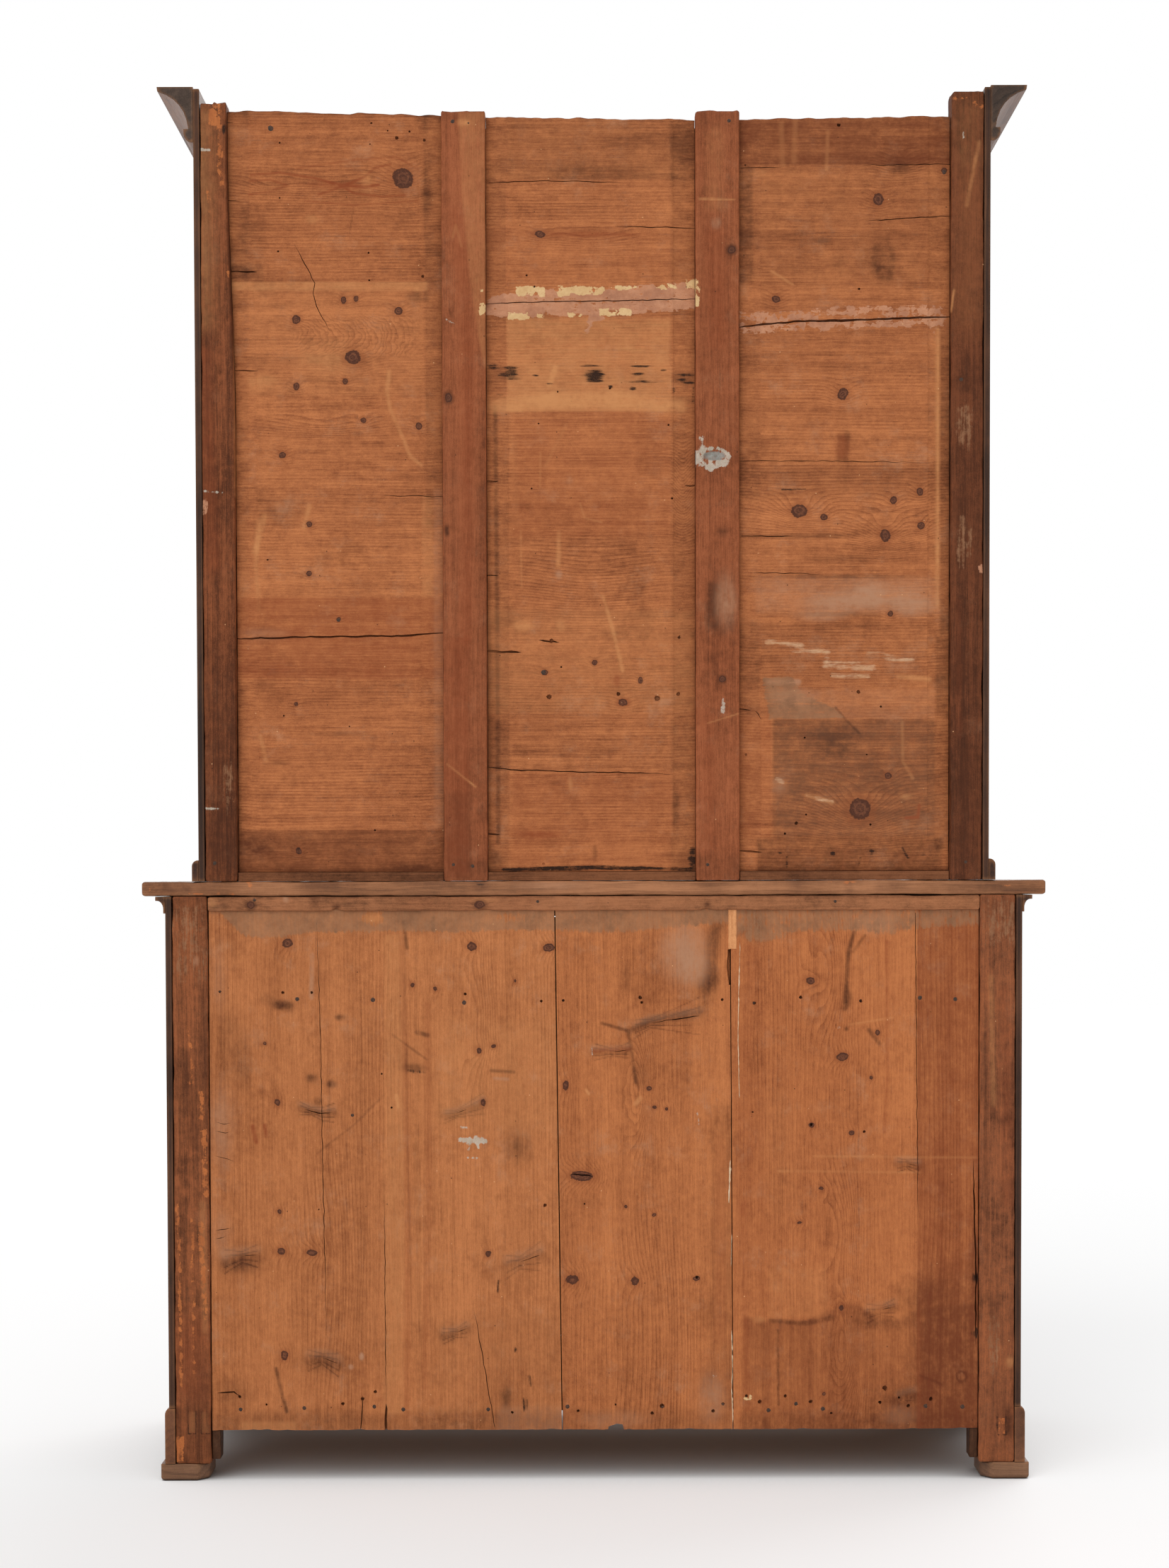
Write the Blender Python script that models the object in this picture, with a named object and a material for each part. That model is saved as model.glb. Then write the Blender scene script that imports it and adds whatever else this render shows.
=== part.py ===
"""Two-part sideboard: a base cupboard with drawers and doors, and an upper cupboard that lifts off it.

Metres, +Z up. The doors face -Y and the plain pine back faces +Y. The origin is on the floor, under
the middle of the table top.
"""

import math

import bmesh
import bpy
from mathutils import Vector

# Overall sizes
TABLE_WIDTH = 1.498
TABLE_HEIGHT = 1.000
TABLE_THICK = 0.0245
TABLE_OVERHANG = 0.0385
TABLE_ROUND = 0.006
BASE_DEPTH = 0.500
UPPER_INSET = 0.0945
UPPER_DEPTH = 0.360
UPPER_HEIGHT = 1.303

# Clearances
GAP = 0.0003
DOOR_GAP = 0.002
MEETING_GAP = 0.0025
DRAWER_SIDE_GAP = 0.004
GROOVE_CLEAR = 0.0005

# Feet and plinth
PAD_HEIGHT = 0.0281
PAD_LENGTH = 0.080
PAD_PROUD = 0.0075
PAD_CHAMFER = 0.018
PAD_ROUND = 0.005
PLINTH_HEIGHT = 0.0926
PLINTH_PROUD = 0.007
PLINTH_ROUND = 0.011
BRACKET_FRONT = 0.135
BRACKET_BACK = 0.095
BRACKET_CURVE = 0.050
ARCH_RISE = 0.054

# Base carcass
SIDE_THICK = 0.010
BASE_POST_WIDTH = 0.060
POST_DEPTH = 0.045
FRAME_THICK = 0.028
CENTRE_STILE = 0.070
TOP_RAIL = 0.041
MID_RAIL = 0.036
BOTTOM_RAIL = 0.030
DRAWER_OPENING = 0.119
BASE_SHELF_THICK = 0.018
BASE_BOTTOM_RISE = 0.009
DRAWER_FLOOR_THICK = 0.015
SHELF_SETBACK = 0.030
BOARD_THICK = 0.016
BOARD_RECESS = 0.005
BOARD_DROP = 0.038
BACK_RAIL_HEIGHT = 0.025
BACK_RAIL_THICK = 0.024
BACK_RAIL_LAP = 0.010
SEAM_RIGHT_TOP = 0.065
SEAM_RIGHT_FOOT = 0.054
SEAM_LEFT_TOP = -0.226
SEAM_LEFT_FOOT = -0.231
BASE_MOULDING_HEIGHT = 0.028
BASE_MOULDING_PROUD = 0.0165

# Drawers
DRAWER_FRONT_THICK = 0.022
DRAWER_BOX_HEIGHT = 0.100
DRAWER_BACK_SPACE = 0.0387
DRAWER_WALL = 0.012
DRAWER_BOTTOM = 0.008
GUIDE_WIDTH = 0.066
GUIDE_HEIGHT = 0.020
KNOB_RADIUS = 0.016
KNOB_NECK = 0.0075
KNOB_LENGTH = 0.028

# Doors, hinges and keys
DOOR_THICK = 0.024
DOOR_STILE = 0.075
DOOR_RAIL = 0.085
DOOR_OVOLO = 0.009
DOOR_QUIRK = 0.0015
PANEL_EDGE = 0.0055
PANEL_SET = 0.0113
PANEL_TONGUE = 0.0075
PANEL_MARGIN = 0.045
PANEL_RISE = 0.0038
PANEL_STEP = 0.0022
HINGE_RADIUS = 0.0055
HINGE_LENGTH = 0.070
HINGE_INSET = 0.110
KEY_RADIUS = 0.0028
KEY_CLEAR = 0.0004
KEY_INSET = 0.032
KEY_REACH = 0.017
KEY_BOW = 0.009
KEY_WIRE = 0.0021
KEY_SEAT = 0.016

# Upper carcass
UPPER_POST_WIDTH = 0.0545
UPPER_TOP_RAIL = 0.150
UPPER_BOTTOM_RAIL = 0.060
SIDE_DROP = 0.003
POST_DROP_RIGHT = 0.022
POST_DROP_LEFT = 0.009
MUNTIN_WIDTH = 0.0728
MUNTIN_THICK = 0.030
MUNTIN_DROP = 0.039
MUNTIN_SHIFT = 0.003
GROOVE_DEPTH = 0.008
BACK_PANEL_DROP = 0.047
BACK_PANEL_SET = 0.0145
BACK_PANEL_EDGE = 0.0075
BACK_PANEL_RISE = 0.0045
BACK_PANEL_MARGIN = 0.036
BACK_PANEL_FOOT = 0.050
UPPER_BOTTOM_THICK = 0.0145
UPPER_BOTTOM_RECESS = 0.004
UPPER_TOP_DROP = 0.060
UPPER_SHELF_THICK = 0.018
UPPER_SHELF_SPACES = 3

# Cornice and upper base moulding
CORNICE_PROUD = 0.0595
CORNICE_FILLET = 0.007
CORNICE_HOLLOW = 0.0614
CORNICE_FOOT = 0.008
BEAD_HEIGHT = 0.021
BEAD_PROUD = 0.016
UPPER_MOULDING_HEIGHT = 0.035
UPPER_MOULDING_PROUD = 0.0112
UPPER_MOULDING_ROUND = 0.010

ARC_STEPS = 6
TURN_STEPS = 24

# Derived widths and depths
BASE_HALF = TABLE_WIDTH / 2 - TABLE_OVERHANG
TABLE_DEPTH = BASE_DEPTH + TABLE_OVERHANG
BACK = TABLE_DEPTH / 2
PLINTH_INNER = -SIDE_THICK
BASE_SIDE_INNER = BASE_HALF - SIDE_THICK
BASE_POST_INNER = BASE_SIDE_INNER - GAP - BASE_POST_WIDTH
BASE_INSIDE_FRONT = BASE_DEPTH - FRAME_THICK - GAP
BOARD_FRONT = BOARD_RECESS + BOARD_THICK
UPPER_HALF = TABLE_WIDTH / 2 - UPPER_INSET
UPPER_SIDE_INNER = UPPER_HALF - SIDE_THICK
UPPER_POST_INNER = UPPER_SIDE_INNER - GAP - UPPER_POST_WIDTH
UPPER_INSIDE_FRONT = UPPER_DEPTH - FRAME_THICK - GAP
BACK_PANEL_FRONT = BACK_PANEL_SET + BACK_PANEL_EDGE
BAY_WIDTH = (2 * UPPER_POST_INNER - 2 * MUNTIN_WIDTH) / 3
MUNTIN_PITCH = (BAY_WIDTH + MUNTIN_WIDTH) / 2
MUNTIN_CENTRES = (MUNTIN_SHIFT - MUNTIN_PITCH, MUNTIN_SHIFT + MUNTIN_PITCH)

# Derived levels
PLINTH_FOOT = PAD_HEIGHT + GAP
PLINTH_TOP = PLINTH_FOOT + PLINTH_HEIGHT
BASE_FOOT = PLINTH_TOP + GAP
BASE_TOP = TABLE_HEIGHT - TABLE_THICK - GAP
DRAWER_HEAD = BASE_TOP - TOP_RAIL
DRAWER_SILL = DRAWER_HEAD - DRAWER_OPENING
BASE_DOOR_HEAD = DRAWER_SILL - MID_RAIL
BASE_DOOR_SILL = BASE_FOOT + BOTTOM_RAIL
BASE_FLOOR = PLINTH_TOP + BASE_BOTTOM_RISE
DRAWER_FLOOR_FOOT = DRAWER_SILL - DRAWER_FLOOR_THICK
BASE_SHELF_FOOT = (BASE_FLOOR + DRAWER_FLOOR_FOOT - BASE_SHELF_THICK) / 2
BOARD_TOP = BASE_TOP - BACK_RAIL_HEIGHT + BACK_RAIL_LAP
BOARD_FOOT = PLINTH_TOP - BOARD_DROP
UPPER_FOOT = TABLE_HEIGHT + GAP
UPPER_TOP = TABLE_HEIGHT + UPPER_HEIGHT
UPPER_FLOOR = UPPER_FOOT + UPPER_BOTTOM_THICK
UPPER_CEILING = UPPER_TOP - UPPER_TOP_DROP - UPPER_SHELF_THICK
UPPER_FRAME_TOP = UPPER_TOP - SIDE_DROP
UPPER_DOOR_SILL = UPPER_FOOT + UPPER_BOTTOM_RAIL
UPPER_DOOR_HEAD = UPPER_FRAME_TOP - UPPER_TOP_RAIL
HINGE_OFFSET = HINGE_RADIUS + GAP

# Colour, roughness and metallic value of each wood and metal
FINISHES = {
    "old_pine": ((0.38, 0.13, 0.048), 0.62, 0.0),
    "post_wood": ((0.21, 0.068, 0.028), 0.58, 0.0),
    "walnut": ((0.10, 0.042, 0.020), 0.38, 0.0),
    "grey_walnut": ((0.11, 0.065, 0.042), 0.55, 0.0),
    "inside_pine": ((0.42, 0.22, 0.10), 0.70, 0.0),
    "iron": ((0.09, 0.08, 0.07), 0.45, 1.0),
    "brass": ((0.55, 0.37, 0.13), 0.32, 1.0),
}

groups = {}


def clear_scene():
    for thing in list(bpy.data.objects):
        bpy.data.objects.remove(thing, do_unlink=True)


def at_depth(depth):
    """Y of a point that lies this far in front of the back plane."""
    return BACK - depth


def add_group(name, origin, parent=None):
    """An empty that carries a set of pieces. A moving set has it on the axis of its joint."""
    empty = bpy.data.objects.new(name, None)
    empty.empty_display_size = 0.05
    bpy.context.collection.objects.link(empty)
    origin = Vector(origin)
    if parent:
        empty.parent = groups[parent][0]
        empty.location = origin - groups[parent][1]
    else:
        empty.location = origin
    groups[name] = (empty, origin)


def add_material(name, finish):
    colour, roughness, metallic = FINISHES[finish]
    material = bpy.data.materials.new(name + "_finish")
    material.use_nodes = True
    shader = material.node_tree.nodes["Principled BSDF"]
    shader.inputs["Base Color"].default_value = (*colour, 1.0)
    shader.inputs["Roughness"].default_value = roughness
    shader.inputs["Metallic"].default_value = metallic
    return material


def add_piece(name, shape, finish, group, round_piece=False):
    """Turn a bmesh, drawn in the frame of the whole sideboard, into a named piece of a group."""
    empty, origin = groups[group]
    bmesh.ops.translate(shape, verts=shape.verts, vec=-origin)
    mesh = bpy.data.meshes.new(name)
    shape.to_mesh(mesh)
    shape.free()
    if round_piece:
        mesh.shade_smooth()
        mesh.set_sharp_from_angle(angle=math.radians(40))
    piece = bpy.data.objects.new(name, mesh)
    piece.parent = empty
    bpy.context.collection.objects.link(piece)
    if finish:
        mesh.materials.append(add_material(name, finish))
    return piece


def combine(piece, tool_name, tool_shape, group, operation):
    """Cut a hidden tool shape out of a piece, or join the shape to it."""
    tool = add_piece(tool_name, tool_shape, None, group)
    tool.hide_render = True
    tool.display_type = 'WIRE'
    change = piece.modifiers.new(tool_name, 'BOOLEAN')
    change.operation = operation
    change.solver = 'EXACT'
    change.object = tool


def loft(rings, closed=False):
    """Skin a run of point rings, with flat ends or joined end to end."""
    shape = bmesh.new()
    rows = [[shape.verts.new(point) for point in ring] for ring in rings]
    pairs = list(zip(rows, rows[1:]))
    if closed:
        pairs.append((rows[-1], rows[0]))
    else:
        shape.faces.new(rows[0])
        shape.faces.new(rows[-1])
    for row, following in pairs:
        for i in range(len(row)):
            j = (i + 1) % len(row)
            shape.faces.new((row[i], row[j], following[j], following[i]))
    bmesh.ops.recalc_face_normals(shape, faces=shape.faces)
    return shape


def prism(outline, axis, low, high):
    """Extrude a flat outline along X, Y or Z."""
    place = {
        "x": lambda a, b, c: (c, a, b),
        "y": lambda a, b, c: (a, c, b),
        "z": lambda a, b, c: (a, b, c),
    }[axis]
    return loft([[place(a, b, c) for a, b in outline] for c in (low, high)])


def box(x_low, x_high, depth_low, depth_high, z_low, z_high):
    back, front = at_depth(depth_low), at_depth(depth_high)
    outline = [(x_low, front), (x_high, front), (x_high, back), (x_low, back)]
    return prism(outline, "z", z_low, z_high)


def arc(centre, radii, start, end):
    """Points of an elliptical arc, its angles in degrees."""
    points = []
    for step in range(ARC_STEPS + 1):
        angle = math.radians(start + (end - start) * step / ARC_STEPS)
        points.append((centre[0] + radii[0] * math.cos(angle), centre[1] + radii[1] * math.sin(angle)))
    return points


def curve(start, pull, end):
    """Points of a curve that leaves start towards pull and arrives at end from it."""
    points = []
    for step in range(ARC_STEPS + 1):
        t = step / ARC_STEPS
        weights = ((1 - t) ** 2, 2 * t * (1 - t), t * t)
        points.append(tuple(sum(w * p[k] for w, p in zip(weights, (start, pull, end))) for k in (0, 1)))
    return points


def moulding(profile, half, front_depth):
    """Run a profile of (projection, height) round both sides and the front, mitred at the corners."""
    rings = []
    for side, depth_end in ((-1, False), (-1, True), (1, True), (1, False)):
        ring = []
        for proud, z in profile:
            depth = front_depth + proud if depth_end else 0.0
            ring.append((side * (half + proud), at_depth(depth), z))
        rings.append(ring)
    return loft(rings)


def lattice(x_lines, z_lines, open_cells, depth_low, depth_high):
    """A flat frame of posts and rails on a grid, with some of the grid's cells left open."""
    shape = bmesh.new()
    grid = [[shape.verts.new((x, at_depth(depth_high), z)) for z in z_lines] for x in x_lines]
    for i in range(len(x_lines) - 1):
        for k in range(len(z_lines) - 1):
            if (i, k) not in open_cells:
                shape.faces.new((grid[i][k], grid[i + 1][k], grid[i + 1][k + 1], grid[i][k + 1]))
    front = list(shape.faces)
    grown = bmesh.ops.extrude_face_region(shape, geom=front, use_keep_orig=True)
    moved = [item for item in grown["geom"] if isinstance(item, bmesh.types.BMVert)]
    bmesh.ops.translate(shape, verts=moved, vec=(0, depth_high - depth_low, 0))
    bmesh.ops.recalc_face_normals(shape, faces=shape.faces)
    return shape


def turned(profile, centre, axis):
    """Spin a profile of (radius, travel) round an axis: Z, or Y with travel towards the front."""
    rings = []
    for radius, travel in profile:
        ring = []
        for step in range(TURN_STEPS):
            angle = 2 * math.pi * step / TURN_STEPS
            across, up = radius * math.cos(angle), radius * math.sin(angle)
            offset = (across, up, travel) if axis == "z" else (across, -travel, up)
            ring.append(tuple(c + o for c, o in zip(centre, offset)))
        rings.append(ring)
    return loft(rings)


def wire_ring(centre, radius, wire):
    """A ring of round wire, standing in the plane of Y and Z."""
    rings = []
    for step in range(TURN_STEPS):
        turn = 2 * math.pi * step / TURN_STEPS
        ring = []
        for side in range(8):
            roll = 2 * math.pi * side / 8
            reach = radius + wire * math.cos(roll)
            x = centre[0] + wire * math.sin(roll)
            ring.append((x, centre[1] + reach * math.cos(turn), centre[2] + reach * math.sin(turn)))
        rings.append(ring)
    return loft(rings, closed=True)


def shelf_outline(half, front_depth, back_depth, notches):
    """Plan of a board with notches in its back edge, each (low x, high x, depth)."""
    outline = [(half, at_depth(front_depth)), (-half, at_depth(front_depth))]
    for low, high, depth in notches:
        outline += [(low, at_depth(back_depth)), (low, at_depth(depth))]
        outline += [(high, at_depth(depth)), (high, at_depth(back_depth))]
    # A notch at a corner takes the corner away
    return [p for p in outline if not (abs(p[0]) == half and p[1] == at_depth(back_depth))]


def corner_notches(half, post_inner):
    return (-half, -post_inner + GAP, POST_DEPTH + GAP), (post_inner - GAP, half, POST_DEPTH + GAP)


def base_board(z_low, thick, setback=0.0):
    half = BASE_SIDE_INNER - GAP
    notches = corner_notches(half, BASE_POST_INNER)
    outline = shelf_outline(half, BASE_INSIDE_FRONT - setback, BOARD_FRONT + GAP, notches)
    return prism(outline, "z", z_low, z_low + thick)


def upper_board(z_low, thick, back_depth, setback=0.0):
    half = UPPER_SIDE_INNER - GAP
    left, right = corner_notches(half, UPPER_POST_INNER)
    reach = MUNTIN_WIDTH / 2 + GAP
    middle = [(x - reach, x + reach, MUNTIN_THICK + GAP) for x in MUNTIN_CENTRES]
    outline = shelf_outline(half, UPPER_INSIDE_FRONT - setback, back_depth, [left, *middle, right])
    return prism(outline, "z", z_low, z_low + thick)


def build_feet():
    outer = BASE_HALF + PLINTH_PROUD + PAD_PROUD
    front = BASE_DEPTH + PLINTH_PROUD + PAD_PROUD
    for side, side_name in ((-1, "left"), (1, "right")):
        for end, near, far in (("back", 0.0, PAD_LENGTH), ("front", front, front - PAD_LENGTH)):
            inner = outer - PAD_LENGTH
            cut = math.copysign(PAD_CHAMFER, far - near)
            outline = [
                (side * outer, at_depth(near)),
                (side * outer, at_depth(far)),
                (side * inner, at_depth(far)),
                (side * inner, at_depth(near + cut)),
                (side * (inner + PAD_CHAMFER), at_depth(near)),
            ]
            shape = prism(outline, "z", 0.0, PAD_HEIGHT)
            lower = [edge for edge in shape.edges if all(v.co.z < PAD_ROUND for v in edge.verts)]
            bmesh.ops.bevel(shape, geom=lower, offset=PAD_ROUND, segments=3, profile=0.5, affect='EDGES')
            add_piece(f"foot_pad_{end}_{side_name}", shape, "grey_walnut", "sideboard")


def arch_outline(low, high):
    """Outline of the opening between two bracket feet, rounded where it meets them."""
    below = -PAD_HEIGHT
    outline = [(low, below), (high, below)]
    outline += arc((high - BRACKET_CURVE, PLINTH_FOOT), (BRACKET_CURVE, ARCH_RISE), 0, 90)
    outline += arc((low + BRACKET_CURVE, PLINTH_FOOT), (BRACKET_CURVE, ARCH_RISE), 90, 180)
    return outline


def build_plinth():
    profile = [(PLINTH_INNER, PLINTH_TOP), (PLINTH_INNER, PLINTH_FOOT), (PLINTH_PROUD, PLINTH_FOOT)]
    profile += arc((0, PLINTH_TOP - PLINTH_ROUND), (PLINTH_PROUD, PLINTH_ROUND), 0, 90)
    plinth = add_piece("base_plinth", moulding(profile, BASE_HALF, BASE_DEPTH), "walnut", "sideboard")
    reach = BASE_HALF + PLINTH_PROUD - BRACKET_FRONT
    front = BASE_DEPTH + PLINTH_PROUD
    past = 2 * PLINTH_PROUD
    across = prism(arch_outline(-reach, reach), "y", at_depth(front + past), at_depth(BASE_INSIDE_FRONT))
    combine(plinth, "front_arch", across, "sideboard", 'DIFFERENCE')
    sides = arch_outline(at_depth(front - BRACKET_FRONT), at_depth(BRACKET_BACK))
    through = prism(sides, "x", -BASE_HALF - past, BASE_HALF + past)
    combine(plinth, "side_arches", through, "sideboard", 'DIFFERENCE')


def build_base_case():
    for side, side_name in ((-1, "left"), (1, "right")):
        inner, outer = sorted((side * BASE_POST_INNER, side * (BASE_SIDE_INNER - GAP)))
        post = box(inner, outer, 0.0, POST_DEPTH, PLINTH_FOOT, BASE_TOP)
        add_piece(f"base_post_back_{side_name}", post, "post_wood", "sideboard")
        inner, outer = sorted((side * BASE_SIDE_INNER, side * BASE_HALF))
        board = box(inner, outer, 0.0, BASE_INSIDE_FRONT, BASE_FOOT, BASE_TOP)
        add_piece(f"base_side_{side_name}", board, "walnut", "sideboard")
    half_stile = CENTRE_STILE / 2
    x_lines = [-BASE_HALF, -BASE_POST_INNER, -half_stile, half_stile, BASE_POST_INNER, BASE_HALF]
    z_lines = [BASE_FOOT, BASE_DOOR_SILL, BASE_DOOR_HEAD, DRAWER_SILL, DRAWER_HEAD, BASE_TOP]
    openings = {(1, 1), (3, 1), (1, 3), (3, 3)}
    frame = lattice(x_lines, z_lines, openings, BASE_DEPTH - FRAME_THICK, BASE_DEPTH)
    add_piece("base_front_frame", frame, "walnut", "sideboard")
    bottom = base_board(BASE_FLOOR - BASE_SHELF_THICK, BASE_SHELF_THICK)
    add_piece("base_bottom", bottom, "inside_pine", "sideboard")
    shelf = base_board(BASE_SHELF_FOOT, BASE_SHELF_THICK, SHELF_SETBACK)
    add_piece("base_shelf", shelf, "inside_pine", "sideboard")
    floor = base_board(DRAWER_FLOOR_FOOT, DRAWER_FLOOR_THICK)
    add_piece("base_drawer_floor", floor, "inside_pine", "sideboard")
    half_guide = GUIDE_WIDTH / 2
    guide_foot = DRAWER_SILL + GAP
    guide_top = guide_foot + GUIDE_HEIGHT
    guide = box(-half_guide, half_guide, BOARD_FRONT + GAP, BASE_INSIDE_FRONT, guide_foot, guide_top)
    add_piece("base_drawer_guide", guide, "inside_pine", "sideboard")


def build_base_back():
    half = BASE_POST_INNER - GAP
    rail_foot = BASE_TOP - BACK_RAIL_HEIGHT
    lip = BOARD_RECESS - GAP
    rebate = BOARD_TOP + GAP
    section = [
        (at_depth(0.0), rail_foot),
        (at_depth(0.0), BASE_TOP),
        (at_depth(BACK_RAIL_THICK), BASE_TOP),
        (at_depth(BACK_RAIL_THICK), rebate),
        (at_depth(lip), rebate),
        (at_depth(lip), rail_foot),
    ]
    add_piece("base_back_rail", prism(section, "x", -half, half), "post_wood", "sideboard")
    left_seam = (SEAM_LEFT_FOOT, SEAM_LEFT_TOP)
    right_seam = (SEAM_RIGHT_FOOT, SEAM_RIGHT_TOP)
    edges = ((-half, -half), left_seam, right_seam, (half, half))
    for name, low, high in zip(("left", "middle", "right"), edges, edges[1:]):
        outline = [
            (low[0] + GAP, BOARD_FOOT),
            (high[0] - GAP, BOARD_FOOT),
            (high[1] - GAP, BOARD_TOP),
            (low[1] + GAP, BOARD_TOP),
        ]
        board = prism(outline, "y", at_depth(BOARD_FRONT), at_depth(BOARD_RECESS))
        add_piece(f"base_back_board_{name}", board, "old_pine", "sideboard")


def build_table_top():
    foot = TABLE_HEIGHT - TABLE_THICK
    steps = []
    for inset, rise in arc((TABLE_ROUND, TABLE_ROUND), (TABLE_ROUND, TABLE_ROUND), 270, 180):
        steps.append((inset, foot + rise))
    steps += [(inset, foot + TABLE_HEIGHT - z) for inset, z in reversed(steps)]
    rings = []
    for inset, z in steps:
        half = TABLE_WIDTH / 2 - inset
        front = at_depth(TABLE_DEPTH - inset)
        rings.append([(-half, front, z), (half, front, z), (half, BACK, z), (-half, BACK, z)])
    add_piece("base_top", loft(rings), "grey_walnut", "sideboard", round_piece=True)
    low = BASE_TOP - BASE_MOULDING_HEIGHT
    fillet = BASE_MOULDING_HEIGHT / 4
    nose = BASE_MOULDING_PROUD / 5
    profile = [(GAP, BASE_TOP), (GAP, low), (nose, low), (nose, low + fillet)]
    hollow = (BASE_MOULDING_PROUD - 2 * nose, BASE_MOULDING_HEIGHT - 2 * fillet)
    profile += arc((BASE_MOULDING_PROUD - nose, low + fillet), hollow, 180, 90)[1:]
    profile += [(BASE_MOULDING_PROUD, BASE_TOP - fillet), (BASE_MOULDING_PROUD, BASE_TOP)]
    shape = moulding(profile, BASE_HALF, BASE_DEPTH)
    add_piece("base_top_moulding", shape, "walnut", "sideboard", round_piece=True)


def build_drawer(side_name, low, high):
    """Drawer in the opening between two x values, on the drawer floor."""
    group = f"drawer_{side_name}"
    middle = (low + high) / 2
    centre_z = (DRAWER_SILL + DRAWER_HEAD) / 2
    add_group(group, (middle, at_depth(BASE_DEPTH), centre_z), "sideboard")
    front_back = BASE_DEPTH - DRAWER_FRONT_THICK
    sill, head = DRAWER_SILL + DOOR_GAP, DRAWER_HEAD - DOOR_GAP
    front = box(low + DOOR_GAP, high - DOOR_GAP, front_back, BASE_DEPTH, sill, head)
    add_piece(f"{group}_front", front, "walnut", group)
    left, right = low + DRAWER_SIDE_GAP, high - DRAWER_SIDE_GAP
    near = front_back - GAP
    far = BOARD_FRONT + DRAWER_BACK_SPACE
    foot = DRAWER_SILL + GAP
    tray = box(left, right, far, near, foot, foot + DRAWER_BOX_HEIGHT)
    tray = add_piece(f"{group}_box", tray, "inside_pine", group)
    past = DRAWER_WALL
    hollow = box(
        left + DRAWER_WALL,
        right - DRAWER_WALL,
        far + DRAWER_WALL,
        near + past,
        foot + DRAWER_BOTTOM,
        foot + DRAWER_BOX_HEIGHT + past,
    )
    combine(tray, f"{group}_hollow", hollow, group, 'DIFFERENCE')
    ball = KNOB_LENGTH / 4
    head = KNOB_LENGTH - ball
    profile = [(KNOB_NECK * 1.4, GAP), (KNOB_NECK * 1.4, KNOB_LENGTH / 8), (KNOB_NECK, KNOB_LENGTH / 4)]
    profile += arc((KNOB_NECK, head), (KNOB_RADIUS - KNOB_NECK, ball), -90, 90)
    knob = turned(profile, (middle, at_depth(BASE_DEPTH), centre_z), "y")
    add_piece(f"{group}_knob", knob, "walnut", group, round_piece=True)


def rectangle(low, high, y):
    return [(low[0], y, low[1]), (high[0], y, low[1]), (high[0], y, high[1]), (low[0], y, high[1])]


def door_frame(low, high, front_depth):
    """Stiles and rails with a moulded inner edge and a groove that holds the panel."""
    inner_low = (low[0] + DOOR_STILE, low[1] + DOOR_RAIL)
    inner_high = (high[0] - DOOR_STILE, high[1] - DOOR_RAIL)
    groove_front = PANEL_SET - GAP
    groove_back = PANEL_SET + PANEL_EDGE + GAP
    groove = PANEL_TONGUE + GROOVE_CLEAR
    edge = [(DOOR_OVOLO, 0.0)]
    edge += [(DOOR_OVOLO - a, b + DOOR_QUIRK) for a, b in arc((0, DOOR_OVOLO), (DOOR_OVOLO,) * 2, -90, 0)]
    edge += [(0.0, groove_front), (groove, groove_front), (groove, groove_back), (0.0, groove_back)]
    edge.append((0.0, DOOR_THICK))
    rings = [rectangle(low, high, at_depth(front_depth))]
    for out, sunk in edge:
        corner_low = (inner_low[0] - out, inner_low[1] - out)
        corner_high = (inner_high[0] + out, inner_high[1] + out)
        rings.append(rectangle(corner_low, corner_high, at_depth(front_depth - sunk)))
    rings.append(rectangle(low, high, at_depth(front_depth - DOOR_THICK)))
    return loft(rings, closed=True)


def door_panel(low, high, front_depth):
    """Fielded panel whose thin edge sits in the door frame's groove."""
    inner_low = (low[0] + DOOR_STILE, low[1] + DOOR_RAIL)
    inner_high = (high[0] - DOOR_STILE, high[1] - DOOR_RAIL)
    steps = [
        (PANEL_TONGUE, PANEL_SET + PANEL_EDGE),
        (PANEL_TONGUE, PANEL_SET),
        (-GROOVE_CLEAR, PANEL_SET),
        (-PANEL_MARGIN, PANEL_SET - PANEL_RISE),
        (-PANEL_MARGIN - PANEL_STEP, PANEL_SET - PANEL_RISE - PANEL_STEP),
    ]
    rings = []
    for out, sunk in steps:
        corner_low = (inner_low[0] - out, inner_low[1] - out)
        corner_high = (inner_high[0] + out, inner_high[1] + out)
        rings.append(rectangle(corner_low, corner_high, at_depth(front_depth - sunk)))
    return loft(rings)


def build_key(name, group, keyhole_of, place, front_depth):
    """Key with a ring bow, turning in a round hole through the door's free stile."""
    x, z = place
    face = (x, at_depth(front_depth), z)
    add_group(f"{name}_axis", face, group)
    shank = turned([(KEY_RADIUS, -KEY_SEAT), (KEY_RADIUS, KEY_REACH)], face, "y")
    key = add_piece(name, shank, "brass", f"{name}_axis", round_piece=True)
    bow_centre = (x, at_depth(front_depth + KEY_REACH + KEY_BOW), z)
    bow = wire_ring(bow_centre, KEY_BOW, KEY_WIRE)
    combine(key, f"{name}_bow", bow, f"{name}_axis", 'UNION')
    past = DOOR_THICK * 2
    hole = turned([(KEY_RADIUS + KEY_CLEAR, -past), (KEY_RADIUS + KEY_CLEAR, past)], face, "y")
    combine(keyhole_of, f"{name}_hole", hole, group, 'DIFFERENCE')


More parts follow.
